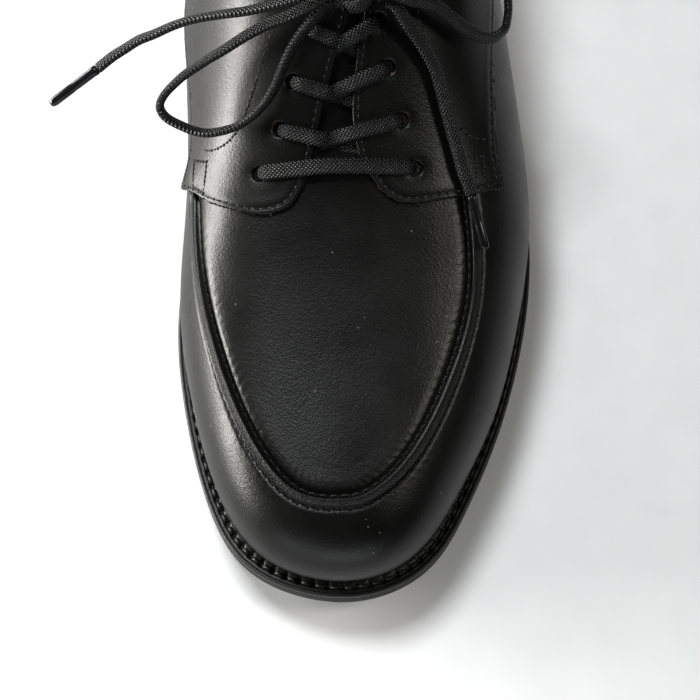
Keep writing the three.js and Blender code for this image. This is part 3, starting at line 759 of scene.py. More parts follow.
def black_leather(name):
    g = Graph(name, Roughness=0.4, Specular_IOR_Level=0.5)
    streaks = g.noise(1.0, 2, 0.55, g.turned((1500, 620, 900), (0, 0, -48)), 0.4)
    pores = g.cells(1700)
    broad = g.noise(24, 3, 0.5)
    normal = g.bump(streaks, 0.00006)
    normal = g.bump(pores, 0.00004, 0.8, normal)
    normal = g.bump(broad, 0.0005, 0.35, normal)
    frayed = g.noise(1400, 3, 0.7)
    normal = g.bump(g.math("MULTIPLY", frayed, g.mark("raw")), 0.0004, 1.0, normal)
    g.shade("Normal", normal)
    specks = g.fit(g.cells(280), 0.09, 0.06)
    rare = g.fit(g.noise(90, 1), 0.56, 0.58)
    dust = g.math("MULTIPLY", specks, rare)
    colour = g.mix(g.fit(broad, 0.3, 0.7), (0.0022, 0.0021, 0.0018, 1), (0.0036, 0.0034, 0.0029, 1))
    colour = g.mix(dust, colour, (0.16, 0.15, 0.13, 1))
    raw = g.mark("raw")
    tan = g.math("MULTIPLY", g.fit(g.noise(230, 2), 0.57, 0.61), g.fit(raw, 0.3, 0.5))
    colour = g.mix(raw, colour, g.mix(g.fit(frayed, 0.35, 0.65), (0.001, 0.001, 0.0009, 1), (0.006, 0.005, 0.004, 1)))
    colour = g.mix(g.math("MULTIPLY", tan, g.mark("cut")), colour, (0.42, 0.2, 0.075, 1))
    g.shade("Base Color", colour)
    rough = g.fit(g.noise(60, 3), 0.3, 0.7, 0.34, 0.42)
    rough = g.math("ADD", rough, g.math("MULTIPLY", raw, 0.12), clamp=True)
    g.shade("Roughness", rough)
    return g.material


def plain_material(name, colour, other, roughness, scale, depth, **values):
    g = Graph(name, **values)
    grain = g.noise(scale, 4, 0.6)
    g.shade("Base Color", g.mix(g.fit(g.noise(scale * 0.2, 3), 0.3, 0.7), colour, other))
    g.shade("Roughness", g.fit(grain, 0.2, 0.8, roughness - 0.08, roughness + 0.08))
    g.shade("Normal", g.bump(grain, depth))
    return g.material


UPPER = black_leather("upper_black_leather")
LINING = plain_material("tan_lining", (0.30, 0.155, 0.075, 1), (0.235, 0.118, 0.056, 1), 0.62, 900, 0.00012)
WELT = plain_material("welt_edge", (0.012, 0.0115, 0.011, 1), (0.02, 0.019, 0.018, 1), 0.45, 700, 0.00015)
STACK = plain_material("heel_stack", (0.012, 0.011, 0.0105, 1), (0.022, 0.02, 0.018, 1), 0.4, 500, 0.00012)
RUBBER = plain_material("sole_rubber", (0.016, 0.016, 0.016, 1), (0.026, 0.026, 0.026, 1), 0.62, 1300, 0.0001)
THREAD = plain_material("black_thread", (0.012, 0.012, 0.012, 1), (0.03, 0.03, 0.029, 1), 0.45, 3000, 0.0001)
# Near-black colour for the needle holes: painted shade standing in for the dark insides of the holes
HOLE_SHADE = plain_material("needle_hole_painted_shade", (0.001, 0.001, 0.001, 1), (0.002, 0.002, 0.002, 1), 0.95, 900, 0.0001)


WEAVE = 2.5


def lace_material():
    g = Graph("waxed_braid", Roughness=0.4)
    across = g.add("ShaderNodeUVMap", uv_map="braid").outputs[0]
    parts = g.add("ShaderNodeSeparateXYZ", {0: across})
    along, side = parts.outputs[0], parts.outputs[1]
    step_along, step_side = g.math("MULTIPLY", along, WEAVE), g.math("MULTIPLY", side, WEAVE)
    one = g.math("SINE", g.math("ADD", step_along, step_side))
    two = g.math("SINE", g.math("SUBTRACT", step_along, step_side))
    weave = g.math("ABSOLUTE", g.math("MULTIPLY", one, two))
    height = g.math("ADD", weave, g.math("MULTIPLY", g.noise(2500, 2), 0.1))
    g.shade("Normal", g.bump(height, 0.00028))
    # Base colour follows the weave's height: darker in the hollows between strands and lighter on their crowns, painted
    # shade
    g.shade("Base Color", g.mix(g.fit(weave, 0.05, 0.5), (0.001, 0.001, 0.001, 1), (0.0045, 0.0045, 0.0047, 1)))
    g.shade("Roughness", g.fit(weave, 0.0, 0.7, 0.62, 0.22))
    return g.material


LACE = lace_material()
AGLET_PLASTIC = plain_material(
    "aglet_plastic", (0.008, 0.008, 0.009, 1), (0.012, 0.012, 0.013, 1), 0.2, 400, 0.00002
)

# Camera

camera = bpy.data.objects.new("camera", bpy.data.cameras.new("camera"))
bpy.context.scene.collection.objects.link(camera)
camera.data.lens = CAMERA_LENS
camera.data.sensor_width = 36
camera.location = [value * MM for value in CAMERA_AT]
camera.rotation_euler = (math.radians(CAMERA_TILT), 0, 0)
camera.data.clip_start = 0.05
bpy.context.scene.camera = camera

# Laces: a flat braid swept along a line


def lace_mesh(line, normals, width, thick, sides=14, taper=None):
    """Points, faces and braid coordinates of a flat lace. taper gives width and thickness shares."""
    line = np.asarray(line, float)
    count = len(line)
    ahead = np.concatenate([line[1:], line[-1:]])
    behind = np.concatenate([line[:1], line[:-1]])
    along = unit(ahead - behind)
    side = unit(np.cross(along, normals))
    up = np.cross(side, along)
    taper = np.ones((count, 2)) if taper is None else np.asarray(taper)
    angles = (np.arange(sides) + 0.5) / sides * 2 * math.pi
    round_x = np.sign(np.cos(angles)) * np.abs(np.cos(angles)) ** 0.8
    round_y = np.sign(np.sin(angles)) * np.abs(np.sin(angles)) ** 0.8
    rings = (
        line[:, None]
        + side[:, None] * (round_x[None, :, None] * width / 2 * taper[:, None, :1])
        + up[:, None] * (round_y[None, :, None] * thick / 2 * taper[:, None, 1:])
    )
    lengths = np.concatenate([[0], np.cumsum(np.linalg.norm(np.diff(line, axis=0), axis=1))])
    braid = np.stack([
        np.repeat(lengths, sides), np.tile(round_x * width / 2, count), np.zeros(count * sides)
    ], -1)
    faces = []
    for i in range(count - 1):
        for k in range(sides):
            n = (k + 1) % sides
            faces.append([i * sides + k, (i + 1) * sides + k, (i + 1) * sides + n, i * sides + n])
    faces.append(list(range(sides)))
    faces.append(list(range((count - 1) * sides, count * sides))[::-1])
    return rings.reshape(-1, 3), faces, braid


def add_braid(piece, braid):
    layer = piece.data.uv_layers.new(name="braid")
    order = np.zeros(len(piece.data.loops), int)
    piece.data.loops.foreach_get("vertex_index", order)
    layer.data.foreach_set("uv", braid[order, :2].astype(np.float32).ravel())


def steady_normals(line, start=(0, 0, 1)):
    """Normals carried along a line with as little turning as can be."""
    along = unit(np.gradient(line, axis=0))
    normals = [np.array(start, float)]
    for direction in along:
        last = normals[-1]
        normals.append(unit(last - direction * (last @ direction)))
    return np.array(normals[1:])


def smooth_route(points, steps=6):
    return catmull(points, (len(points) - 1) * steps)


def cord_piece(name, route, rolls, replaces):
    line = smooth_route(route)
    normals = steady_normals(line)
    turn = np.interp(np.linspace(0, 1, len(line)), np.linspace(0, 1, len(rolls)), np.radians(rolls))
    along = unit(np.gradient(line, axis=0))
    side = np.cross(along, normals)
    normals = normals * np.cos(turn)[:, None] + side * np.sin(turn)[:, None]
    verts, faces, braid = lace_mesh(line, normals, CORD_WIDTH, CORD_THICK * 0.86)
    piece = make_object(name, verts, faces, LACE, replaces)
    add_braid(piece, braid)
    return piece


def tip(name, ends, replaces):
    """Crimped tube on a lace's end."""
    start, end = np.array(ends, float)
    shares = np.array([0, 0.02, 0.06, 0.1, 0.45, 0.5, 0.55, 0.92, 0.97, 1])
    sizes = np.array([0.86, 0.98, 1, 0.94, 0.92, 0.86, 0.92, 0.94, 0.86, 0.6])
    line = start + (end - start) * shares[:, None]
    normals = steady_normals(line)
    verts, faces, _ = lace_mesh(line, normals, AGLET, AGLET, 20, np.stack([sizes, sizes * 0.92], -1))
    return make_object(name, verts, faces, AGLET_PLASTIC, replaces)


aglet_inner = tip("aglet_inner_tube", INNER_TIP, ["aglet_inner"])
aglet_outer = tip("aglet_outer_tube", OUTER_TIP, ["aglet_outer"])
cord_piece(
    "bow_end_inner", INNER_END, (10, 35, 60, 40, 30), ["lace_end_inner"]
)
cord_piece(
    "bow_end_outer", OUTER_END, (0, 10, 20, 30, 20), ["lace_end_outer"]
)
cord_piece(
    "bow_loop_inner", INNER_LOOP, (0, 40, 60, 60, 40, 10), ["lace_loop_inner"]
)
cord_piece(
    "bow_loop_outer", OUTER_LOOP, (0, 20, 50, 60, 30, 0), ["lace_loop_outer"]
)

# Sole pieces


def sole_point(place, inset, height, floor=underside):
    edge, out, _ = sole_edge(place)
    plan = edge - out * np.asarray(inset)[..., None]
    return np.stack([plan[..., 0], plan[..., 1] - LENGTH / 2, floor(plan[..., 1]) + height], -1)


def ring_places(count):
    """Places around the ring, evenly spaced along the edge."""
    fine = np.linspace(0, COUNT, 4001)
    line = sole_point(fine, np.zeros(4001), 0)
    lengths = np.concatenate([[0], np.cumsum(np.linalg.norm(np.diff(line, axis=0), axis=1))])
    return np.interp(np.arange(count) / count * lengths[-1], lengths, fine), lengths[-1]


def ring_strip(places, rows, floor=underside):
    """Rows of (inset, height) swept around the whole ring: points and faces, outside facing out."""
    count = len(places)
    points = np.concatenate([
        sole_point(places, np.full(count, float(inset)), height, floor) for inset, height in rows
    ])
    faces = []
    for row in range(len(rows) - 1):
        for i in range(count):
            n = (i + 1) % count
            low, high = row * count, (row + 1) * count
            faces.append([low + i, low + n, high + n, high + i])
    return points, faces


def edge_distance(line, points):
    return distance_to(line, points)[0]


SOLE_PLACES, SOLE_AROUND = ring_places(560)


def floor_patch(inset, height, floor, spacing, keep=None):
    """Flat grid under or in the shoe, inside the ring at an inset, as (x, y, height) and its faces."""
    rows = int(LENGTH / spacing)
    columns = int(BALL_WIDTH / spacing)
    stations = np.interp(
        np.linspace(0, 1, rows),
        np.linspace(0, 1, 2001),
        np.interp(np.linspace(0.5, LENGTH - 0.5, 2001),
                  ring_at(np.linspace(0, HALF, 2001))[:, 0] * LENGTH, np.linspace(0, HALF, 2001)),
    )
    outer = sole_point(stations, np.full(rows, float(inset)), 0)
    inner = sole_point(COUNT - stations, np.full(rows, float(inset)), 0)
    shares = np.linspace(0, 1, columns)
    points = outer[:, None] * (1 - shares)[None, :, None] + inner[:, None] * shares[None, :, None]
    points[..., 2] = floor(points[..., 1] + LENGTH / 2) + height
    return points.reshape(-1, 3), grid_faces(rows, columns)

def treaded(name, floor, up, inset, material, slot, replaces, side_rows, studs, behind=None, spacing=1.6):
    """Slab with a rim and round studs left standing on its underside."""
    points, faces = floor_patch(inset, up, floor, spacing)
    ring = sole_point(np.linspace(0, COUNT, 1200), np.zeros(1200), 0)
    ring[:, 2] = 0
    flat = points.copy()
    flat[:, 2] = 0
    rim = TREAD_RIM - edge_distance(ring, flat)
    if behind is not None:
        rim = np.maximum(rim, TREAD_RIM * 0.8 - (flat[:, 1] - behind))
    stud = np.full(len(flat), -99.0)
    for x, y, radius in studs:
        stud = np.maximum(stud, radius - np.hypot(flat[:, 0] - x, flat[:, 1] - y))
    solid = np.maximum(rim, stud)
    rows = np.column_stack([points, solid])
    if behind is not None:
        rows = np.column_stack([rows, flat[:, 1] - behind])
        rows, faces = cut(rows, faces, 4, 0)
    rows, faces = cut(rows, faces, 3, 0, keep_low=True)
    rows, faces = cut(rows, faces, 3, -TREAD_SLOPE, keep_low=True)
    rows, faces = tidy(rows, faces)
    rows[:, 2] += TREAD_DEPTH * np.clip(-rows[:, 3] / TREAD_SLOPE, 0, 1)
    return rows[:, :3], [face[::-1] for face in faces]


TREAD_RIM = 7
TREAD_DEPTH = 1.3
TREAD_SLOPE = 0.5
STUD = 4.6
STUD_PITCH = 13.5


def stud_field(low, high):
    """Rows of studs between two lengths, clear of the rim."""
    found = []
    row = 0
    along = low
    while along < high:
        outer = sole_point(np.interp(along, ring_at(np.linspace(0, HALF, 800))[:, 0] * LENGTH,
                                     np.linspace(0, HALF, 800)), 0.0, 0)[0]
        inner_place = COUNT - np.interp(along, ring_at(np.linspace(0, HALF, 800))[:, 0] * LENGTH,
                                        np.linspace(0, HALF, 800))
        inner = sole_point(inner_place, 0.0, 0)[0]
        middle = (outer + inner) / 2
        room = (outer - inner) / 2 - TREAD_RIM - STUD - 1.5
        count = int(room // (STUD_PITCH / 2))
        for k in range(-count, count + 1):
            if (k + row) % 2 == 0:
                found.append((middle + k * STUD_PITCH / 2, along - LENGTH / 2, STUD))
        along += STUD_PITCH * 0.8
        row += 1
    return found


# Outsole: side, top and studded underside
OUTSOLE_SIDE = [
    (1.3, 0), (0.55, 0.12), (0.12, 0.5), (0, 1.2), (0, 2.4), (0.05, 2.55), (0, 2.7), (0, 5.6),
    (0.14, 5.75), (0, 5.9), (0, 7.3), (0.12, 7.65), (0.5, 7.93), (3.5, 8),
]
side_points_, side_faces = ring_strip(SOLE_PLACES, OUTSOLE_SIDE)
top_start = (len(OUTSOLE_SIDE) - 1) * len(SOLE_PLACES)
side_faces.append(list(range(top_start, top_start + len(SOLE_PLACES))))
tread_points, tread_faces = treaded(
    "tread", underside, 0, 1.3, RUBBER, "sole_rubber", [], OUTSOLE_SIDE, stud_field(22, 176)
)
points = np.concatenate([side_points_, tread_points])
faces = side_faces + [[i + len(side_points_) for i in face] for face in tread_faces]
make_object("outsole_slab", points, faces, RUBBER, ["outsole"])

# Welt with a groove for its stitches and a fine bevel on the rim
WELT_ROWS = [
    (8.9, 8.3), (0.45, 8.3), (0.1, 8.5), (0, 8.9), (0, 10.6), (0.08, 10.95), (0.3, 11.22), (0.62, 11.36),
    (0.95, 11.34), (1.15, 11.18), (1.4, 11.14), (1.75, 11.3), (2.1, 11.36), (2.4, 11.2), (2.7, 10.9), (3.4, 10.85),
    (3.75, 11.1), (4.2, 11.34), (5.2, 11.4), (8.9, 11.4), (8.9, 8.3),
]
WELT_PITCH = 4.7
WELT_SEAM = 3.0
welt_count = int(SOLE_AROUND / WELT_PITCH) * 8
WELT_PLACES, _ = ring_places(welt_count)
points, faces = ring_strip(WELT_PLACES, WELT_ROWS)
rows = points.reshape(len(WELT_ROWS), -1, 3)
phase = (np.arange(welt_count) % 8) / 8
hole = np.maximum(0, 1 - np.abs((phase + 0.5) % 1 - 0.5) * 5.5)
for row, (inset, _) in enumerate(WELT_ROWS):
    near = max(0, 1 - abs(inset - WELT_SEAM) / 1.3) if 3 < row < 19 else 0
    rows[row, :, 2] -= 0.75 * hole * min(1, near * 1.5)
    if 3 < row < 19 and inset > 3.4:
        rows[row, :, 2] -= 0.22 * np.maximum(0, 1 - np.abs((phase + 0.5) % 1 - 0.5) * 4) * (inset < 5.3)
make_object("welt_strip", rows.reshape(-1, 3), faces, WELT, ["welt"])


def stitch_mesh(starts, ends, outs, width, rise, sink, sides=8, steps=7):
    """Short arched threads between pairs of holes: one closed body each."""
    verts, faces = [], []
    shares = np.linspace(0, 1, steps)
    arch = np.sin(shares * math.pi) ** 0.6
    swell = 0.55 + 0.45 * np.sin(shares * math.pi) ** 0.5
    for start, end, out in zip(starts, ends, outs):
        along = unit(end - start)
        side = np.cross(along, out)
        base = len(verts)
        for share, lift, size in zip(shares, arch, swell):
            centre = start + (end - start) * share + out * (rise * lift - sink * (1 - lift))
            for k in range(sides):
                angle = 2 * math.pi * k / sides
                verts.append(
                    centre + (side * math.cos(angle) + out * math.sin(angle) * 0.85) * width / 2 * size
                )
        for i in range(steps - 1):
            for k in range(sides):
                n = (k + 1) % sides
                a, b = base + i * sides, base + (i + 1) * sides
                faces.append([a + k, a + n, b + n, b + k])
        faces.append([base + k for k in range(sides)][::-1])
        faces.append([base + (steps - 1) * sides + k for k in range(sides)])
    return np.array(verts), faces


stitch_places = np.arange(welt_count // 8) * 8
place_at = np.interp(
    np.concatenate([stitch_places + 1.1, stitch_places + 6.9]), np.arange(welt_count + 1),
    np.append(WELT_PLACES, COUNT),
)
spots = sole_point(place_at, np.full(len(place_at), WELT_SEAM), OUTSOLE_THICK + WELT_THICK - 0.25)
starts, ends = spots[:len(stitch_places)], spots[len(stitch_places):]
points, faces = stitch_mesh(starts, ends, np.tile((0.0, 0.0, 1.0), (len(starts), 1)), 1.15, 0.2, 0.55)
make_object("welt_stitches", points, faces, THREAD)


def heel_piece(name, rows, floor_rows, material, replaces, studs=()):
    """Piece behind the slanting breast: rows of (inset, height from its floor, floor function)."""
    count, across = 200, 40
    loops = []
    for inset, height, floor in rows:
        fine = np.linspace(8, 18, 2001)
        line = sole_point(fine, np.full(2001, float(inset)), height, floor)
        breast = HEEL_BREAST - LENGTH / 2 + BREAST_SLANT * (1 - line[:, 2] / HEEL_HEIGHT)
        behind = np.flatnonzero(line[:, 1] > breast)
        arc = line[behind[0] - 1:behind[-1] + 2]
        arc, _ = resample(arc, np.linalg.norm(np.diff(arc, axis=0), axis=1).sum() / (count - 1))
        arc = arc[:count] if len(arc) >= count else np.concatenate([arc, arc[-1:]])
        share = np.linspace(0, 1, across + 2)[1:-1, None]
        front = arc[-1] * (1 - share) + arc[0] * share
        loops.append(np.concatenate([arc, front]))
    size = count + across
    faces = []
    for row in range(len(loops) - 1):
        for i in range(size):
            n = (i + 1) % size
            low, high = row * size, (row + 1) * size
            faces.append([low + i, low + n, high + n, high + i])
    faces.append(list(range(size))[::-1])
    faces.append(list(range((len(loops) - 1) * size, len(loops) * size)))
    return make_object(name, np.concatenate(loops), faces, material, replaces)


def flat_floor(along):
    return np.zeros_like(np.asarray(along, float))


stack_rows = []
LIFTS = 4
for lift in range(LIFTS):
    share = (lift / LIFTS, (lift + 1) / LIFTS)

    def layer(along, share=share, top=False):
        low = LIFT_THICK + CLEARANCE
        return low + (underside(along) - CLEARANCE - low) * share[top]

    def layer_top(along, layer=layer):
        return layer(along, top=True)

    stack_rows += [
        (HEEL_INSET + 0.16, 0, layer), (HEEL_INSET, 0.16, layer), (HEEL_INSET, 0.3, layer),
        (HEEL_INSET, -0.3, layer_top), (HEEL_INSET, -0.16, layer_top), (HEEL_INSET + 0.16, -0.02, layer_top),
    ]
heel_piece("heel_stack_lifts", stack_rows, None, STACK, ["heel"])
heel_piece("heel_top_piece", [
    (HEEL_INSET + 1, 0, flat_floor), (HEEL_INSET + 0.3, 0.3, flat_floor), (HEEL_INSET, 1, flat_floor),
    (HEEL_INSET, 5.6, flat_floor), (HEEL_INSET + 0.2, 6, flat_floor),
], None, RUBBER, ["heel_lift"])

# Sock over the insole
sock_height = OUTSOLE_THICK + CLEARANCE + INSOLE_THICK
points, faces = floor_patch(INSOLE_INSET - 1.2, sock_height + 0.1, underside, 4)
ring = sole_point(np.linspace(0, COUNT, 800), np.full(800, INSOLE_INSET - 1.2), 0)
ring[:, 2] = 0
rim_gap = edge_distance(ring, points * (1, 1, 0))
points[:, 2] += 1.6 * np.exp(-rim_gap / 3.5)
lower = points - (0, 0, 1)
points, faces = shell(points, lower, [face[::-1] for face in faces])
make_object("sock_lining", points, faces, LINING, ["insole"])

# Upper: the last's sheet with the standing apron seam

SEAM_STATIONS = np.linspace(0, 6.4, 700)
seam_rows = apron_at(np.minimum(SEAM_STATIONS, len(APRON) - 1))
SEAM_LINE = np.concatenate([
    sheet(SEAM_STATIONS[::-1], 2 - seam_rows[::-1, 1]), sheet(SEAM_STATIONS[1:], seam_rows[1:, 0]),
])
SEAM_LINE, _ = resample(SEAM_LINE, 0.5)

# Height of the leather across the seam: distance from its middle, towards the apron
SEAM_ACROSS = np.array([
    (-9, 0), (-5, 0.06), (-3.4, 0.12), (-2.7, 0.02), (-2.3, -0.16), (-1.95, -0.05), (-1.6, 0.2), (-1.4, 1.3),
    (-1.28, 1.6), (-1.12, 1.7), (-0.95, 1.62), (-0.75, 1.38), (0, 1.3), (0.65, 1.42), (0.85, 1.64), (1.02, 1.74),
    (1.18, 1.66), (1.3, 1.2), (1.42, 0.1), (1.6, -0.5), (2, -0.72), (2.5, -0.62), (3, -0.34), (3.6, -0.06),
    (4.6, 0.1), (6, 0.13), (8, 0.06), (10, 0),
])
SEAM_PITCH = 3.2


def seam_relief(gap, along, station, reach):
    height = np.interp(gap, SEAM_ACROSS[:, 0], SEAM_ACROSS[:, 1])
    drift = 0.35 * np.sin(along * 0.37) + 0.25 * np.sin(along * 0.91 + 2)
    wave = np.sin(2 * math.pi * (along + 0.6 * gap) / SEAM_PITCH + drift)
    uneven = 0.6 + 0.4 * np.sin(along * 0.23 + 1) * np.sin(along * 0.071)
    inside = smoothstep(2.2, 3.4, gap) * (1 - smoothstep(4.5, 8.5, gap))
    outside = smoothstep(2.0, 2.8, -gap) * (1 - smoothstep(3.5, 6, -gap))
    rag = np.sin(along * 1.7) * np.sin(along * 0.63 + 1) * 0.06
    top = np.clip(1 - np.abs(gap) / 1.5, 0, 1)
    end = np.where(reach > 1, RIDGE_ENDS[1], RIDGE_ENDS[0])
    fade = 1 - smoothstep(end, end + 0.12, station)
    return (height + uneven * wave * (0.07 * inside + 0.04 * outside) + rag * top) * fade


def spaced(low, high, gap, at_reach):
    """Stations with an even spacing on the sheet at a reach."""
    fine = np.linspace(low, high, 3001)
    line = sheet(fine, np.full(3001, at_reach))
    lengths = np.concatenate([[0], np.cumsum(np.linalg.norm(np.diff(line, axis=0), axis=1))])
    return np.interp(np.linspace(0, lengths[-1], int(lengths[-1] / gap) + 1), lengths, fine)


stations = np.unique(np.concatenate([spaced(0, 6.3, 0.8, 0.7), spaced(6.3, 13, 2.4, 0.6)]))


def side_columns(station, inner):
    """Reaches up one side, close together over the seam."""
    seam = apron_at(min(station, len(APRON) - 1))[1 if inner else 0]
    place = COUNT - station if inner else station
    step = 0.01
    per_reach = np.linalg.norm(on_last(place, seam + step) - on_last(place, seam - step)) / (2 * step)
    low = min(seam - 0.02, 6.2 / per_reach)
    high = min(1 - seam - 0.02, 8.6 / per_reach)
    below = np.linspace(0, seam - low, 26)[:-1]
    band = seam + np.concatenate([np.linspace(-low, 0, 24)[:-1], np.linspace(0, high, 32)])
    above = np.linspace(seam + high, 1, 22)[1:]
    return np.concatenate([below, band, above])


grid = []
for station in stations:
    outer = side_columns(station, False)
    inner = 2 - side_columns(station, True)[::-1]
    reach = np.concatenate([outer, inner[1:]])
    grid.append(np.column_stack([np.full(len(reach), station), reach]))
columns = len(grid[0])
rows = np.concatenate(grid)
faces = grid_faces(len(grid), columns)
base = sheet(rows[:, 0], rows[:, 1])
sides = np.where(rows[:, 1] > 1, 2 - rows[:, 1], rows[:, 1])
seams = apron_at(np.minimum(rows[:, 0], len(APRON) - 1))
seams = np.where(rows[:, 1] > 1, seams[:, 1], seams[:, 0])
gap, along = distance_to(SEAM_LINE, base)
gap *= np.sign(sides - seams)
rows = np.column_stack([rows, gap, along])

topline_curve = catmull(side_points(TOPLINE, BACK_HEIGHT), 60)


def height_of(curve, y):
    return np.interp(y, curve[:, 0], curve[:, 1])


def band_inside(table, points):
    """How far plan points lie inside a band about the gap."""
    left = catmull([((c - h) * BALL_WIDTH, (a - 0.5) * LENGTH) for c, h, a in table], 60)
    right = catmull([((c + h) * BALL_WIDTH, (a - 0.5) * LENGTH) for c, h, a in table], 60)
    low = np.interp(points[:, 1], left[:, 1], left[:, 0])
    high = np.interp(points[:, 1], right[:, 1], right[:, 0])
    across = np.minimum(points[:, 0] - low, high - points[:, 0])
    return np.minimum(across, points[:, 1] - left[0, 1])


def collar_room(points):
    """Height left under the topline, for points of the collar."""
    room = height_of(topline_curve, points[:, 1]) - points[:, 2]
    return np.where(points[:, 1] > topline_curve[0, 0], room, 50)


outside = np.where((base[:, 2] > 40) & (base[:, 1] < 90), -band_inside(THROAT, base), 50)
rows = np.column_stack([rows, np.minimum(collar_room(base), outside)])
rows, faces = cut(rows, faces, 4, 0)
rows, faces = welded(rows, faces)
relief = seam_relief(rows[:, 2], rows[:, 3], rows[:, 0], rows[:, 1])
top = off_sheet(rows[:, 0], rows[:, 1], relief)
inside = off_sheet(rows[:, 0], rows[:, 1], np.full(len(rows), -0.9))
rim = rim_of(faces)
count = len(top)
edge_points = sorted({i for pair in rim for i in pair})
place = {i: count + n for n, i in enumerate(edge_points)}
faces = faces + [[j, i, place[i], place[j]] for i, j in rim]
raw = np.clip(0.95 - np.abs(rows[:, 2]), 0, 0.25) / 0.25 * (rows[:, 0] < 6)
raw = np.concatenate([raw, np.zeros(len(edge_points))])
make_object(
    "vamp_and_walls", np.concatenate([top, inside[edge_points]]), faces, UPPER, ["upper"],
    {"raw": raw},
)

# Lining behind it
stations = spaced(0, 13, 3.5, 0.6)
reaches = np.linspace(0.02, 1.98, 56)
rows = np.stack(np.meshgrid(stations, reaches, indexing="ij"), -1).reshape(-1, 2)
faces = grid_faces(len(stations), len(reaches))
base = off_sheet(rows[:, 0], rows[:, 1], np.full(len(rows), -1.4))
outside = np.where((base[:, 2] > 40) & (base[:, 1] < 90), -band_inside(THROAT, base), 50)
rows = np.column_stack([rows, np.minimum(collar_room(base), outside) - 0.2])
rows, faces = cut(rows, faces, 2, 0)
rows, faces = cut(rows, faces, 2, 0.5, keep_low=True)
rows, faces = welded(rows, faces)
thin = 0.3 * np.clip(1 - rows[:, 2] / 0.5, 0, 1)
top = off_sheet(rows[:, 0], rows[:, 1], -1.0 - thin)
bottom = off_sheet(rows[:, 0], rows[:, 1], -WALL + thin)
points, faces = shell(top, bottom, faces)
make_object("upper_lining", points, faces, LINING)

# Quarters


def eyelet_spots():
    outer = [(pair[0], pair[1]) for pair in EYELETS]
    inner = [(pair[2], 2 - pair[3]) for pair in EYELETS]
    return {"outer": outer, "inner": inner}


EYELET_SPOTS = eyelet_spots()


def roll(gap, radius):
    """Height lost to the rounding of an edge, at a distance from it."""
    near = np.clip(1 - gap / radius, 0, 1)
    return radius * (1 - np.sqrt(1 - near**2))


def quarter_piece(name, side, facing, hem, replaces):
    inner = side == "inner"
    front = spaced(5.2, 8.3, 0.55, 1.2 if inner else 0.8)
    back = spaced(8.3, 12.97, 1.3, 1.3 if inner else 0.7)[1:]
    stations = np.concatenate([front, back])
    reach = np.concatenate([np.linspace(0.34, 0.5, 12)[:-1], np.linspace(0.5, 1.04, 78)])
    reach = (2 - reach)[::-1] if inner else reach
    rows = np.stack(np.meshgrid(stations, reach, indexing="ij"), -1).reshape(-1, 2)
    faces = grid_faces(len(stations), len(reach))
    base = off_sheet(rows[:, 0], rows[:, 1], np.full(len(rows), 1.0))

    facing_plan = catmull(plan_points(facing), 240)
    on = find(facing_plan, [0, 1], 0.4, 1.6)
    facing_line = off_sheet(on[:, 0], on[:, 1], np.full(len(on), 1.0))
    far = BALL_WIDTH * (-1 if inner else 1)
    polygon = np.concatenate([
        facing_plan, [(facing_plan[-1, 0], LENGTH), (far, LENGTH), (far, facing_plan[0, 1])],
    ])
    held = polygon_holds(polygon, base[:, :2])
    front_gap = edge_distance(facing_line, base) * np.where(held, 1, -1)

    hem_side = catmull(side_points(hem, INSTEP_HEIGHT), 160)
    keep = (hem_side[:, 0] > -40) & (hem_side[:, 0] < 147)
    low, high = (1.08, 1.9) if inner else (0.1, 0.92)
    on = find(hem_side[keep], [1, 2], low, high)
    hem_line = off_sheet(on[:, 0], on[:, 1], np.full(len(on), 1.0))
    above = base[:, 2] > height_of(hem_side, base[:, 1])
    hem_gap = edge_distance(hem_line, base) * np.where(above, 1, -1)

    strip_gap = np.abs(base[:, 0] - crest_across(LENGTH)) - BACKSTRIP_WIDTH / 2 - CLEARANCE
    strip_gap = np.where(base[:, 1] > 100, strip_gap, 50)
    slope = np.gradient(topline_curve[:, 1], topline_curve[:, 0])
    tilt = np.interp(base[:, 1], topline_curve[:, 0], slope)
    collar = collar_room(base)
    collar = np.where(collar < 49, collar / np.hypot(1, tilt), collar)
    gap = np.minimum(np.minimum(front_gap, hem_gap), np.minimum(strip_gap, collar))
    holes = off_sheet(*np.array(EYELET_SPOTS[side]).T, np.full(len(EYELETS), 1.0))
    hole_gap = np.linalg.norm(base[:, None] - holes[None], axis=2).min(1) - EYELET / 2
    rows = np.column_stack([rows, gap, hole_gap, front_gap, hem_gap, collar])
    rows, faces = cut(rows, faces, 2, 0)
    rows, faces = cut(rows, faces, 3, 0)
    for level in (0.12, 0.35, 0.75, 1.5):
        rows, faces = cut(rows, faces, 2, level, keep_low=True)
    for level in (0.15, 0.4, 0.8):
        rows, faces = cut(rows, faces, 3, level, keep_low=True)
    rows, faces = tidy(rows, faces)
    gap, hole_gap = rows[:, 2], rows[:, 3]
    groove = -0.16 * np.exp(-((gap - 1.75) / 0.42) ** 2)
    puff = 0.1 * np.exp(-((gap - 3.6) / 1.4) ** 2)
    dished = -0.25 * np.exp(-(hole_gap / 1.6) ** 2)
    height = CLEARANCE + OVERLAY - roll(gap, 0.62) - roll(hole_gap, 0.5) + groove + puff + dished
    height += soft_folds(rows[:, 0], rows[:, 1])
    under = CLEARANCE + 0.1 * np.clip(1 - gap, 0, 1) + soft_folds(rows[:, 0], rows[:, 1])
    top = off_sheet(rows[:, 0], rows[:, 1], height)
    bottom = off_sheet(rows[:, 0], rows[:, 1], np.minimum(under, height - 0.15))
    points, all_faces = shell(top, bottom, faces)
    raw = np.concatenate([np.clip(1 - np.minimum(gap, hole_gap) / 0.12, 0, 1) * 0.5, np.ones(len(bottom))])
    make_object(name, points, all_faces, UPPER, replaces, {"raw": raw, "cut": raw})
    return rows, faces


def soft_folds(station, reach):
    """Broad swells of the leather."""
    spot = sheet(station, reach)
    lift = np.zeros(len(spot))
    for x, y, z, spread, height in SWELLS:
        lift += height * np.exp(-((spot - (x, y, z)) ** 2).sum(1) / spread**2)
    return lift


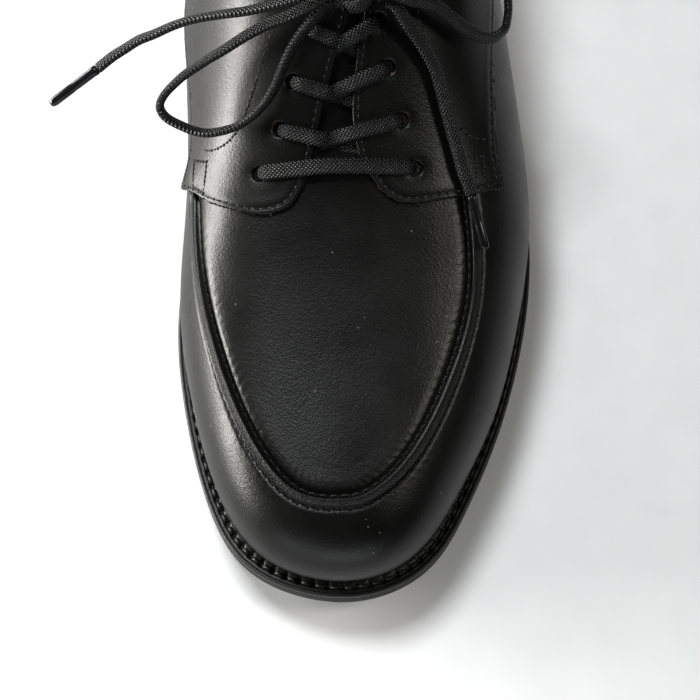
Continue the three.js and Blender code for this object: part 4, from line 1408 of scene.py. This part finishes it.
SWELLS = [
    (-20, 2, 78, 9, 0.25),
    (22, 4, 80, 10, 0.2),
    (-50, -27, 43, 9, 2.3),
    (44.5, -30, 53.3, 7, 0.6),
]

quarter_sheets = {
    "inner": quarter_piece("quarter_inner_panel", "inner", INNER_FACING, INNER_HEM, ["quarter_inner"]),
    "outer": quarter_piece("quarter_outer_panel", "outer", OUTER_FACING, OUTER_HEM, ["quarter_outer"]),
}

# Strip over the back seam
middle = crest_across(LENGTH)
strip_foot = HEEL_HEIGHT + OUTSOLE_THICK + WELT_THICK + OVERLAY
ups, acrosses = 60, 17
places = np.stack(np.meshgrid(np.linspace(12.2, 13.8, 200), np.linspace(0.02, 0.97, 200), indexing="ij"), -1)
places = places.reshape(-1, 2)
ring_spots = on_last(places[:, 0], places[:, 1])
grid = []
for share in np.linspace(-1, 1, acrosses):
    x = middle + share * BACKSTRIP_WIDTH / 2
    column = []
    for level in np.linspace(0, 1, ups):
        place = places[np.argmin((ring_spots[:, 0] - x) ** 2 + (ring_spots[:, 2] - (strip_foot + level * 61)) ** 2)]
        for _ in range(3):
            z = strip_foot + level * (height_of(topline_curve, on_last(*place)[1]) - strip_foot)
            for _ in range(4):
                here = on_last(*place)
                step = 1e-4
                turn = (on_last(place[0] + step, place[1]) - here) / step
                climb = (on_last(place[0], place[1] + step) - here) / step
                jacobian = np.array([[turn[0], climb[0]], [turn[2], climb[2]]])
                place = place + np.clip(np.linalg.solve(jacobian, [x - here[0], z - here[2]]), -0.1, 0.1)
        column.append(place)
    grid.append(column)
rows = np.array(grid).reshape(-1, 2)
faces = [face[::-1] for face in grid_faces(acrosses, ups)]
out = out_of_last(rows[:, 0], rows[:, 1])
spots = on_last(rows[:, 0], rows[:, 1])
edge = np.abs(np.linspace(-1, 1, acrosses)).repeat(ups)
from_side = (1 - edge) * BACKSTRIP_WIDTH / 2
from_end = np.minimum(np.tile(np.linspace(0, 1, ups), acrosses), 1 - np.tile(np.linspace(0, 1, ups), acrosses)) * 60
gap = np.minimum(from_side, from_end)
height = CLEARANCE + OVERLAY - roll(gap, 0.7)
points, faces = shell(
    spots + out * height[:, None], spots + out * CLEARANCE, [face[::-1] for face in faces],
)
make_object("backstrip_panel", points, faces, UPPER, ["backstrip"],
            {"raw": np.zeros(len(points))})

# Tongue
half_rows = catmull([(c, h, a) for c, h, a in TONGUE], 90)
shares = np.linspace(-1, 1, 61)
plan = np.stack([
    (half_rows[:, None, 0] + shares[None] * half_rows[:, None, 1]) * BALL_WIDTH,
    np.repeat((half_rows[:, 2:3] - 0.5) * LENGTH, len(shares), 1),
], -1)
on = find(plan.reshape(-1, 2), [0, 1], 0.35, 1.65)
faces = [face[::-1] for face in grid_faces(len(half_rows), len(shares))]
from_side = (1 - np.abs(shares))[None] * half_rows[:, 1:2] * BALL_WIDTH
from_top = np.repeat((half_rows[-1, 2] - half_rows[:, 2:3]) * LENGTH, len(shares), 1)
gap = np.minimum(from_side, from_top + 0.01).ravel()
top = off_sheet(on[:, 0], on[:, 1], -WALL - CLEARANCE - roll(gap, 0.8))
bottom = off_sheet(on[:, 0], on[:, 1], np.full(len(on), -WALL - CLEARANCE - TONGUE_THICK * 0.9))
points, faces = shell(top, bottom, faces)
make_object("tongue_panel", points, faces, UPPER, ["tongue"], {"raw": np.zeros(len(points))})

# Stitches of the upper


def stitch_line(line, outs, pitch, gap=0.75, width=0.5, rise=0.12, sink=0.3):
    """Starts, ends and outward directions of the stitches along a line."""
    even, _ = resample(np.column_stack([line, outs]), pitch)
    spots, outward = even[:, :3], unit(even[:, 3:])
    share = (pitch - gap) / pitch
    starts = spots[:-1]
    ends = spots[:-1] + (spots[1:] - spots[:-1]) * share
    return starts, ends, outward[:-1]


stitch_sets = []
hole_shade_spots = []


def sew(line, outs, pitch, gap=0.75, width=0.5):
    starts, ends, outward = stitch_line(line, outs, pitch, gap, width)
    stitch_sets.append(stitch_mesh(starts, ends, outward, width, 0.1, 0.28))
    # Spots for the discs of painted shade that stand in for the needle holes
    for start, end, out in zip(starts, ends, outward):
        run = unit(end - start)
        hole_shade_spots.append((start - run * gap / 2, out))


def lift_at(station, reach, height):
    return off_sheet(station, reach, np.full(len(station), float(height)) + soft_folds(station, reach))


def sew_rows(side, hem_name):
    rows, faces = quarter_sheets[side]
    for line in contour(rows, faces, 2, 1.75):
        spots = lift_at(line[:, 0], line[:, 1], CLEARANCE + OVERLAY - 0.12)
        if np.linalg.norm(np.diff(spots, axis=0), axis=1).sum() < 40:
            continue
        sew(spots, sheet_out(line[:, 0], line[:, 1]), 2.6)


sew_rows("inner", "hem")
sew_rows("outer", "hem")

# Seam rows inside and outside the apron's ridge
for shift, height in ((2.05, -0.6), (-2.3, -0.08)):
    lines = []
    for inner in (True, False):
        stations = np.linspace(0, RIDGE_ENDS[1 if inner else 0], 500)
        seam = apron_at(np.minimum(stations, len(APRON) - 1))[:, 1 if inner else 0]
        reach = seam
        place = COUNT - stations if inner else stations
        for _ in range(8):
            spots = on_last(place, reach)
            now, _along = distance_to(SEAM_LINE, spots)
            now *= np.sign(reach - seam)
            step = 0.01
            per_reach = np.linalg.norm(on_last(place, reach + step) - on_last(place, reach - step), axis=1) / (2 * step)
            reach = reach + np.clip((shift - now) / per_reach, -0.05, 0.05)
        found = np.column_stack([off_last_at(place, reach, height), out_of_last(place, reach)])
        lines.append(found[::-1] if inner else found[1:])
    line = np.concatenate(lines)
    sew(line[:, :3], line[:, 3:], SEAM_PITCH, 0.9, 0.62)

# Ornamental rows and bar tacks on the quarters
ARCS = {
    "inner": [(18.65, 0.828), (19.03, 0.785), (19.35, 0.74), (19.55, 0.685), (19.58, 0.598), (19.4, 0.478)],
    "outer": [(7.58, 0.84), (7.0, 0.8), (6.7, 0.778), (6.53, 0.722), (6.48, 0.673), (6.55, 0.615)],
}
for side, arc in ARCS.items():
    curve = catmull(arc, 120)
    place, climb = curve[:, 0], curve[:, 1]
    sew(
        off_last_at(place, climb, CLEARANCE + OVERLAY + 0.02), out_of_last(place, climb), 2.7, 1.0, 0.6,
    )
TACKS = {
    "inner": [(-46.6, -19.8), (-43, -22.1), (-43.9, -31.3), (-46.4, -28.3)],
    "outer": [(35.9, -23), (38.2, -21.6), (38.3, -29.8), (35.9, -31.1)],
}
for side, corners in TACKS.items():
    low, high = (1.05, 1.75) if side == "inner" else (0.25, 0.95)
    on = find(corners, [0, 1], low, high)
    for k in range(4):
        start, end = on[k], on[(k + 1) % 4]
        share = np.linspace(0, 1, 12)[:, None]
        line = start * (1 - share) + end * share
        sew(
            lift_at(line[:, 0], line[:, 1], CLEARANCE + OVERLAY), sheet_out(line[:, 0], line[:, 1]), 1.5, 0.35, 0.5,
        )

verts, faces = [], []
for points, stitch_faces in stitch_sets:
    base = sum(len(v) for v in verts)
    verts.append(points)
    faces += [[i + base for i in face] for face in stitch_faces]
make_object("upper_stitches", np.concatenate(verts), faces, THREAD)

# Flat near-black discs over the needle holes: painted shade in place of real holes
verts, faces = [], []
for spot, out in hole_shade_spots:
    side = unit(np.cross(out, (0.3, 0.2, 0.9)))
    other = np.cross(out, side)
    base = len(verts)
    for k in range(8):
        angle = 2 * math.pi * k / 8
        verts.append(spot + out * 0.06 + (side * math.cos(angle) + other * math.sin(angle)) * 0.5)
    faces.append([base + k for k in range(8)])
make_object("needle_hole_shade_discs", np.array(verts), faces, HOLE_SHADE)

# Laces through the eyelets
TOP = CLEARANCE + OVERLAY


def lace_run(name, controls, normals_at, width, thick, replaces=(), taper=None):
    line = smooth_route(controls, 8)
    outs = unit(catmull(normals_at, (len(controls) - 1) * 8))
    shape = None
    if taper is not None:
        shape = np.interp(np.linspace(0, 1, len(line)), np.linspace(0, 1, len(taper)), taper)
        shape = np.stack([shape, np.ones(len(line))], -1)
    verts, faces, braid = lace_mesh(line, outs, width, thick, 16, shape)
    piece = make_object(name, verts, faces, LACE, replaces)
    add_braid(piece, braid)


def spot(side, pair, offset, toward=None, share=0.0):
    """Point over an eyelet, or part of the way from it to another place, at an offset from the last."""
    here = np.array(EYELET_SPOTS[side][pair])
    if toward is not None:
        here = here * (1 - share) + np.array(toward) * share
    return off_sheet(here[:1], here[1:], np.array([float(offset)]))[0], sheet_out(here[:1], here[1:])[0]


def joined(*spots):
    return [s[0] for s in spots], [s[1] for s in spots]


LACE_FLAT = 1.7
LACE_OVER = 4.9
bar_low, bar_high = EYELET_SPOTS["inner"][0], EYELET_SPOTS["outer"][0]
rise = TOP + LACE_FLAT / 2 + 0.15
controls, outs = joined(
    spot("inner", 0, -1.4), spot("inner", 0, 1.2, bar_high, 0.01), spot("inner", 0, rise, bar_high, 0.07),
    spot("inner", 0, rise, bar_high, 0.25), spot("inner", 0, rise + 0.1, bar_high, 0.5),
    spot("inner", 0, rise, bar_high, 0.75), spot("inner", 0, rise, bar_high, 0.93),
    spot("inner", 0, 1.2, bar_high, 0.99), spot("outer", 0, -1.4),
)
lace_run("lace_bar_run", controls, outs, LACE_OVER, LACE_FLAT, ["lace_bar"],
         (0.6, 0.72, 0.95, 1, 1, 1, 0.95, 0.72, 0.6))
for pair in range(1, len(EYELETS)):
    for side, other, lift in (("inner", "outer", -0.4), ("outer", "inner", 0.9)):
        goal = EYELET_SPOTS[other][pair - 1]
        controls, outs = joined(
            spot(side, pair, -1.4), spot(side, pair, 1.2, goal, 0.01), spot(side, pair, rise, goal, 0.07),
            spot(side, pair, rise, goal, 0.2), spot(side, pair, rise - 0.3, goal, 0.33),
            spot(side, pair, lift, goal, 0.46), spot(side, pair, -0.4, goal, 0.58), spot(side, pair, -1.0, goal, 0.7),
        )
        lace_run(
            f"lace_cross_{pair}_{side}", controls, outs, LACE_OVER * 0.95, LACE_FLAT,
            [f"lace_cross_{pair}"] if side == "outer" else (), (0.6, 0.74, 0.95, 1, 1, 1, 0.95, 0.9),
        )

# Knot: a wrap about two crossing bights
knot_lines = {
    "wrap": [(-3, -4.4, 0), (0.4, -4.8, 2.4), (1.6, -1.8, 5.2), (1, 2, 5), (0.6, 4.8, 2), (0, 4.6, -2.4),
             (-1.4, 1, -4.4), (-3, -3.2, -3.6)],
    "bight_inner": [(-7.2, 0.8, 0.6), (-4.6, 1.8, 2), (-1.2, 2.2, 2.7), (2.6, 0.6, 2), (6.6, -1.2, 0.4)],
    "bight_outer": [(-7.2, -1.4, -2), (-3.8, -2.2, -0.4), (0, -2.2, 0.6), (3.8, -0.6, 1.6), (7, 1.2, 1.4)],
}
for name, points in knot_lines.items():
    line = smooth_route(np.array(points) + KNOT_AT, 8)
    away = unit(line - (np.array(KNOT_AT) - (0, 0, 1)))
    along = unit(np.gradient(line, axis=0))
    away = unit(away - along * (away * along).sum(1)[:, None])
    verts, faces, braid = lace_mesh(line, away, 5, 2.2, 16)
    piece = make_object(f"knot_{name}", verts, faces, LACE, ["lace_knot"] if name == "wrap" else ())
    add_braid(piece, braid)

# Floor, lights and world
floor_mesh = bpy.data.meshes.new("floor")
size = 3.0
floor_mesh.from_pydata([(-size, -size, 0), (size, -size, 0), (size, size, 0), (-size, size, 0)], [], [(0, 1, 2, 3)])
floor = bpy.data.objects.new("floor", floor_mesh)
bpy.context.scene.collection.objects.link(floor)
floor_mesh.materials.append(plain_material("paper_floor", (0.8, 0.8, 0.8, 1), (0.83, 0.83, 0.83, 1), 0.7, 300, 0.00002))


def area_light(name, at, aim, size_xy, power, colour):
    data = bpy.data.lights.new(name, "AREA")
    data.shape = "RECTANGLE"
    data.size, data.size_y = size_xy
    data.energy = power
    data.color = colour
    light = bpy.data.objects.new(name, data)
    light.location = at
    light.rotation_euler = (Vector(aim) - Vector(at)).to_track_quat("-Z", "Y").to_euler()
    bpy.context.scene.collection.objects.link(light)


area_light("window", (-1.0, 0.12, 0.2), (0, 0, 0.02), (0.9, 0.3), 28, (1, 0.99, 0.97))
area_light("skylight", (-0.28, 0.36, 1.13), (0, 0, 0.03), (0.36, 0.26), 11.5, (0.97, 0.985, 1))
area_light("reflector", (0.65, -0.1, 0.85), (0, 0, 0.03), (0.25, 0.25), 3, (1, 0.98, 0.95))
area_light("front", (-0.2, -1.2, 0.3), (0, -0.1, 0.03), (1.6, 0.5), 6, (0.96, 0.98, 1))
world = bpy.data.worlds.new("studio")
bpy.context.scene.world = world
world.use_nodes = True
world.node_tree.nodes["Background"].inputs[0].default_value = (0.9, 0.95, 1, 1)
world.node_tree.nodes["Background"].inputs[1].default_value = 0.02
bpy.context.scene.view_settings.view_transform = "Standard"
bpy.context.scene.view_settings.gamma = 0.8
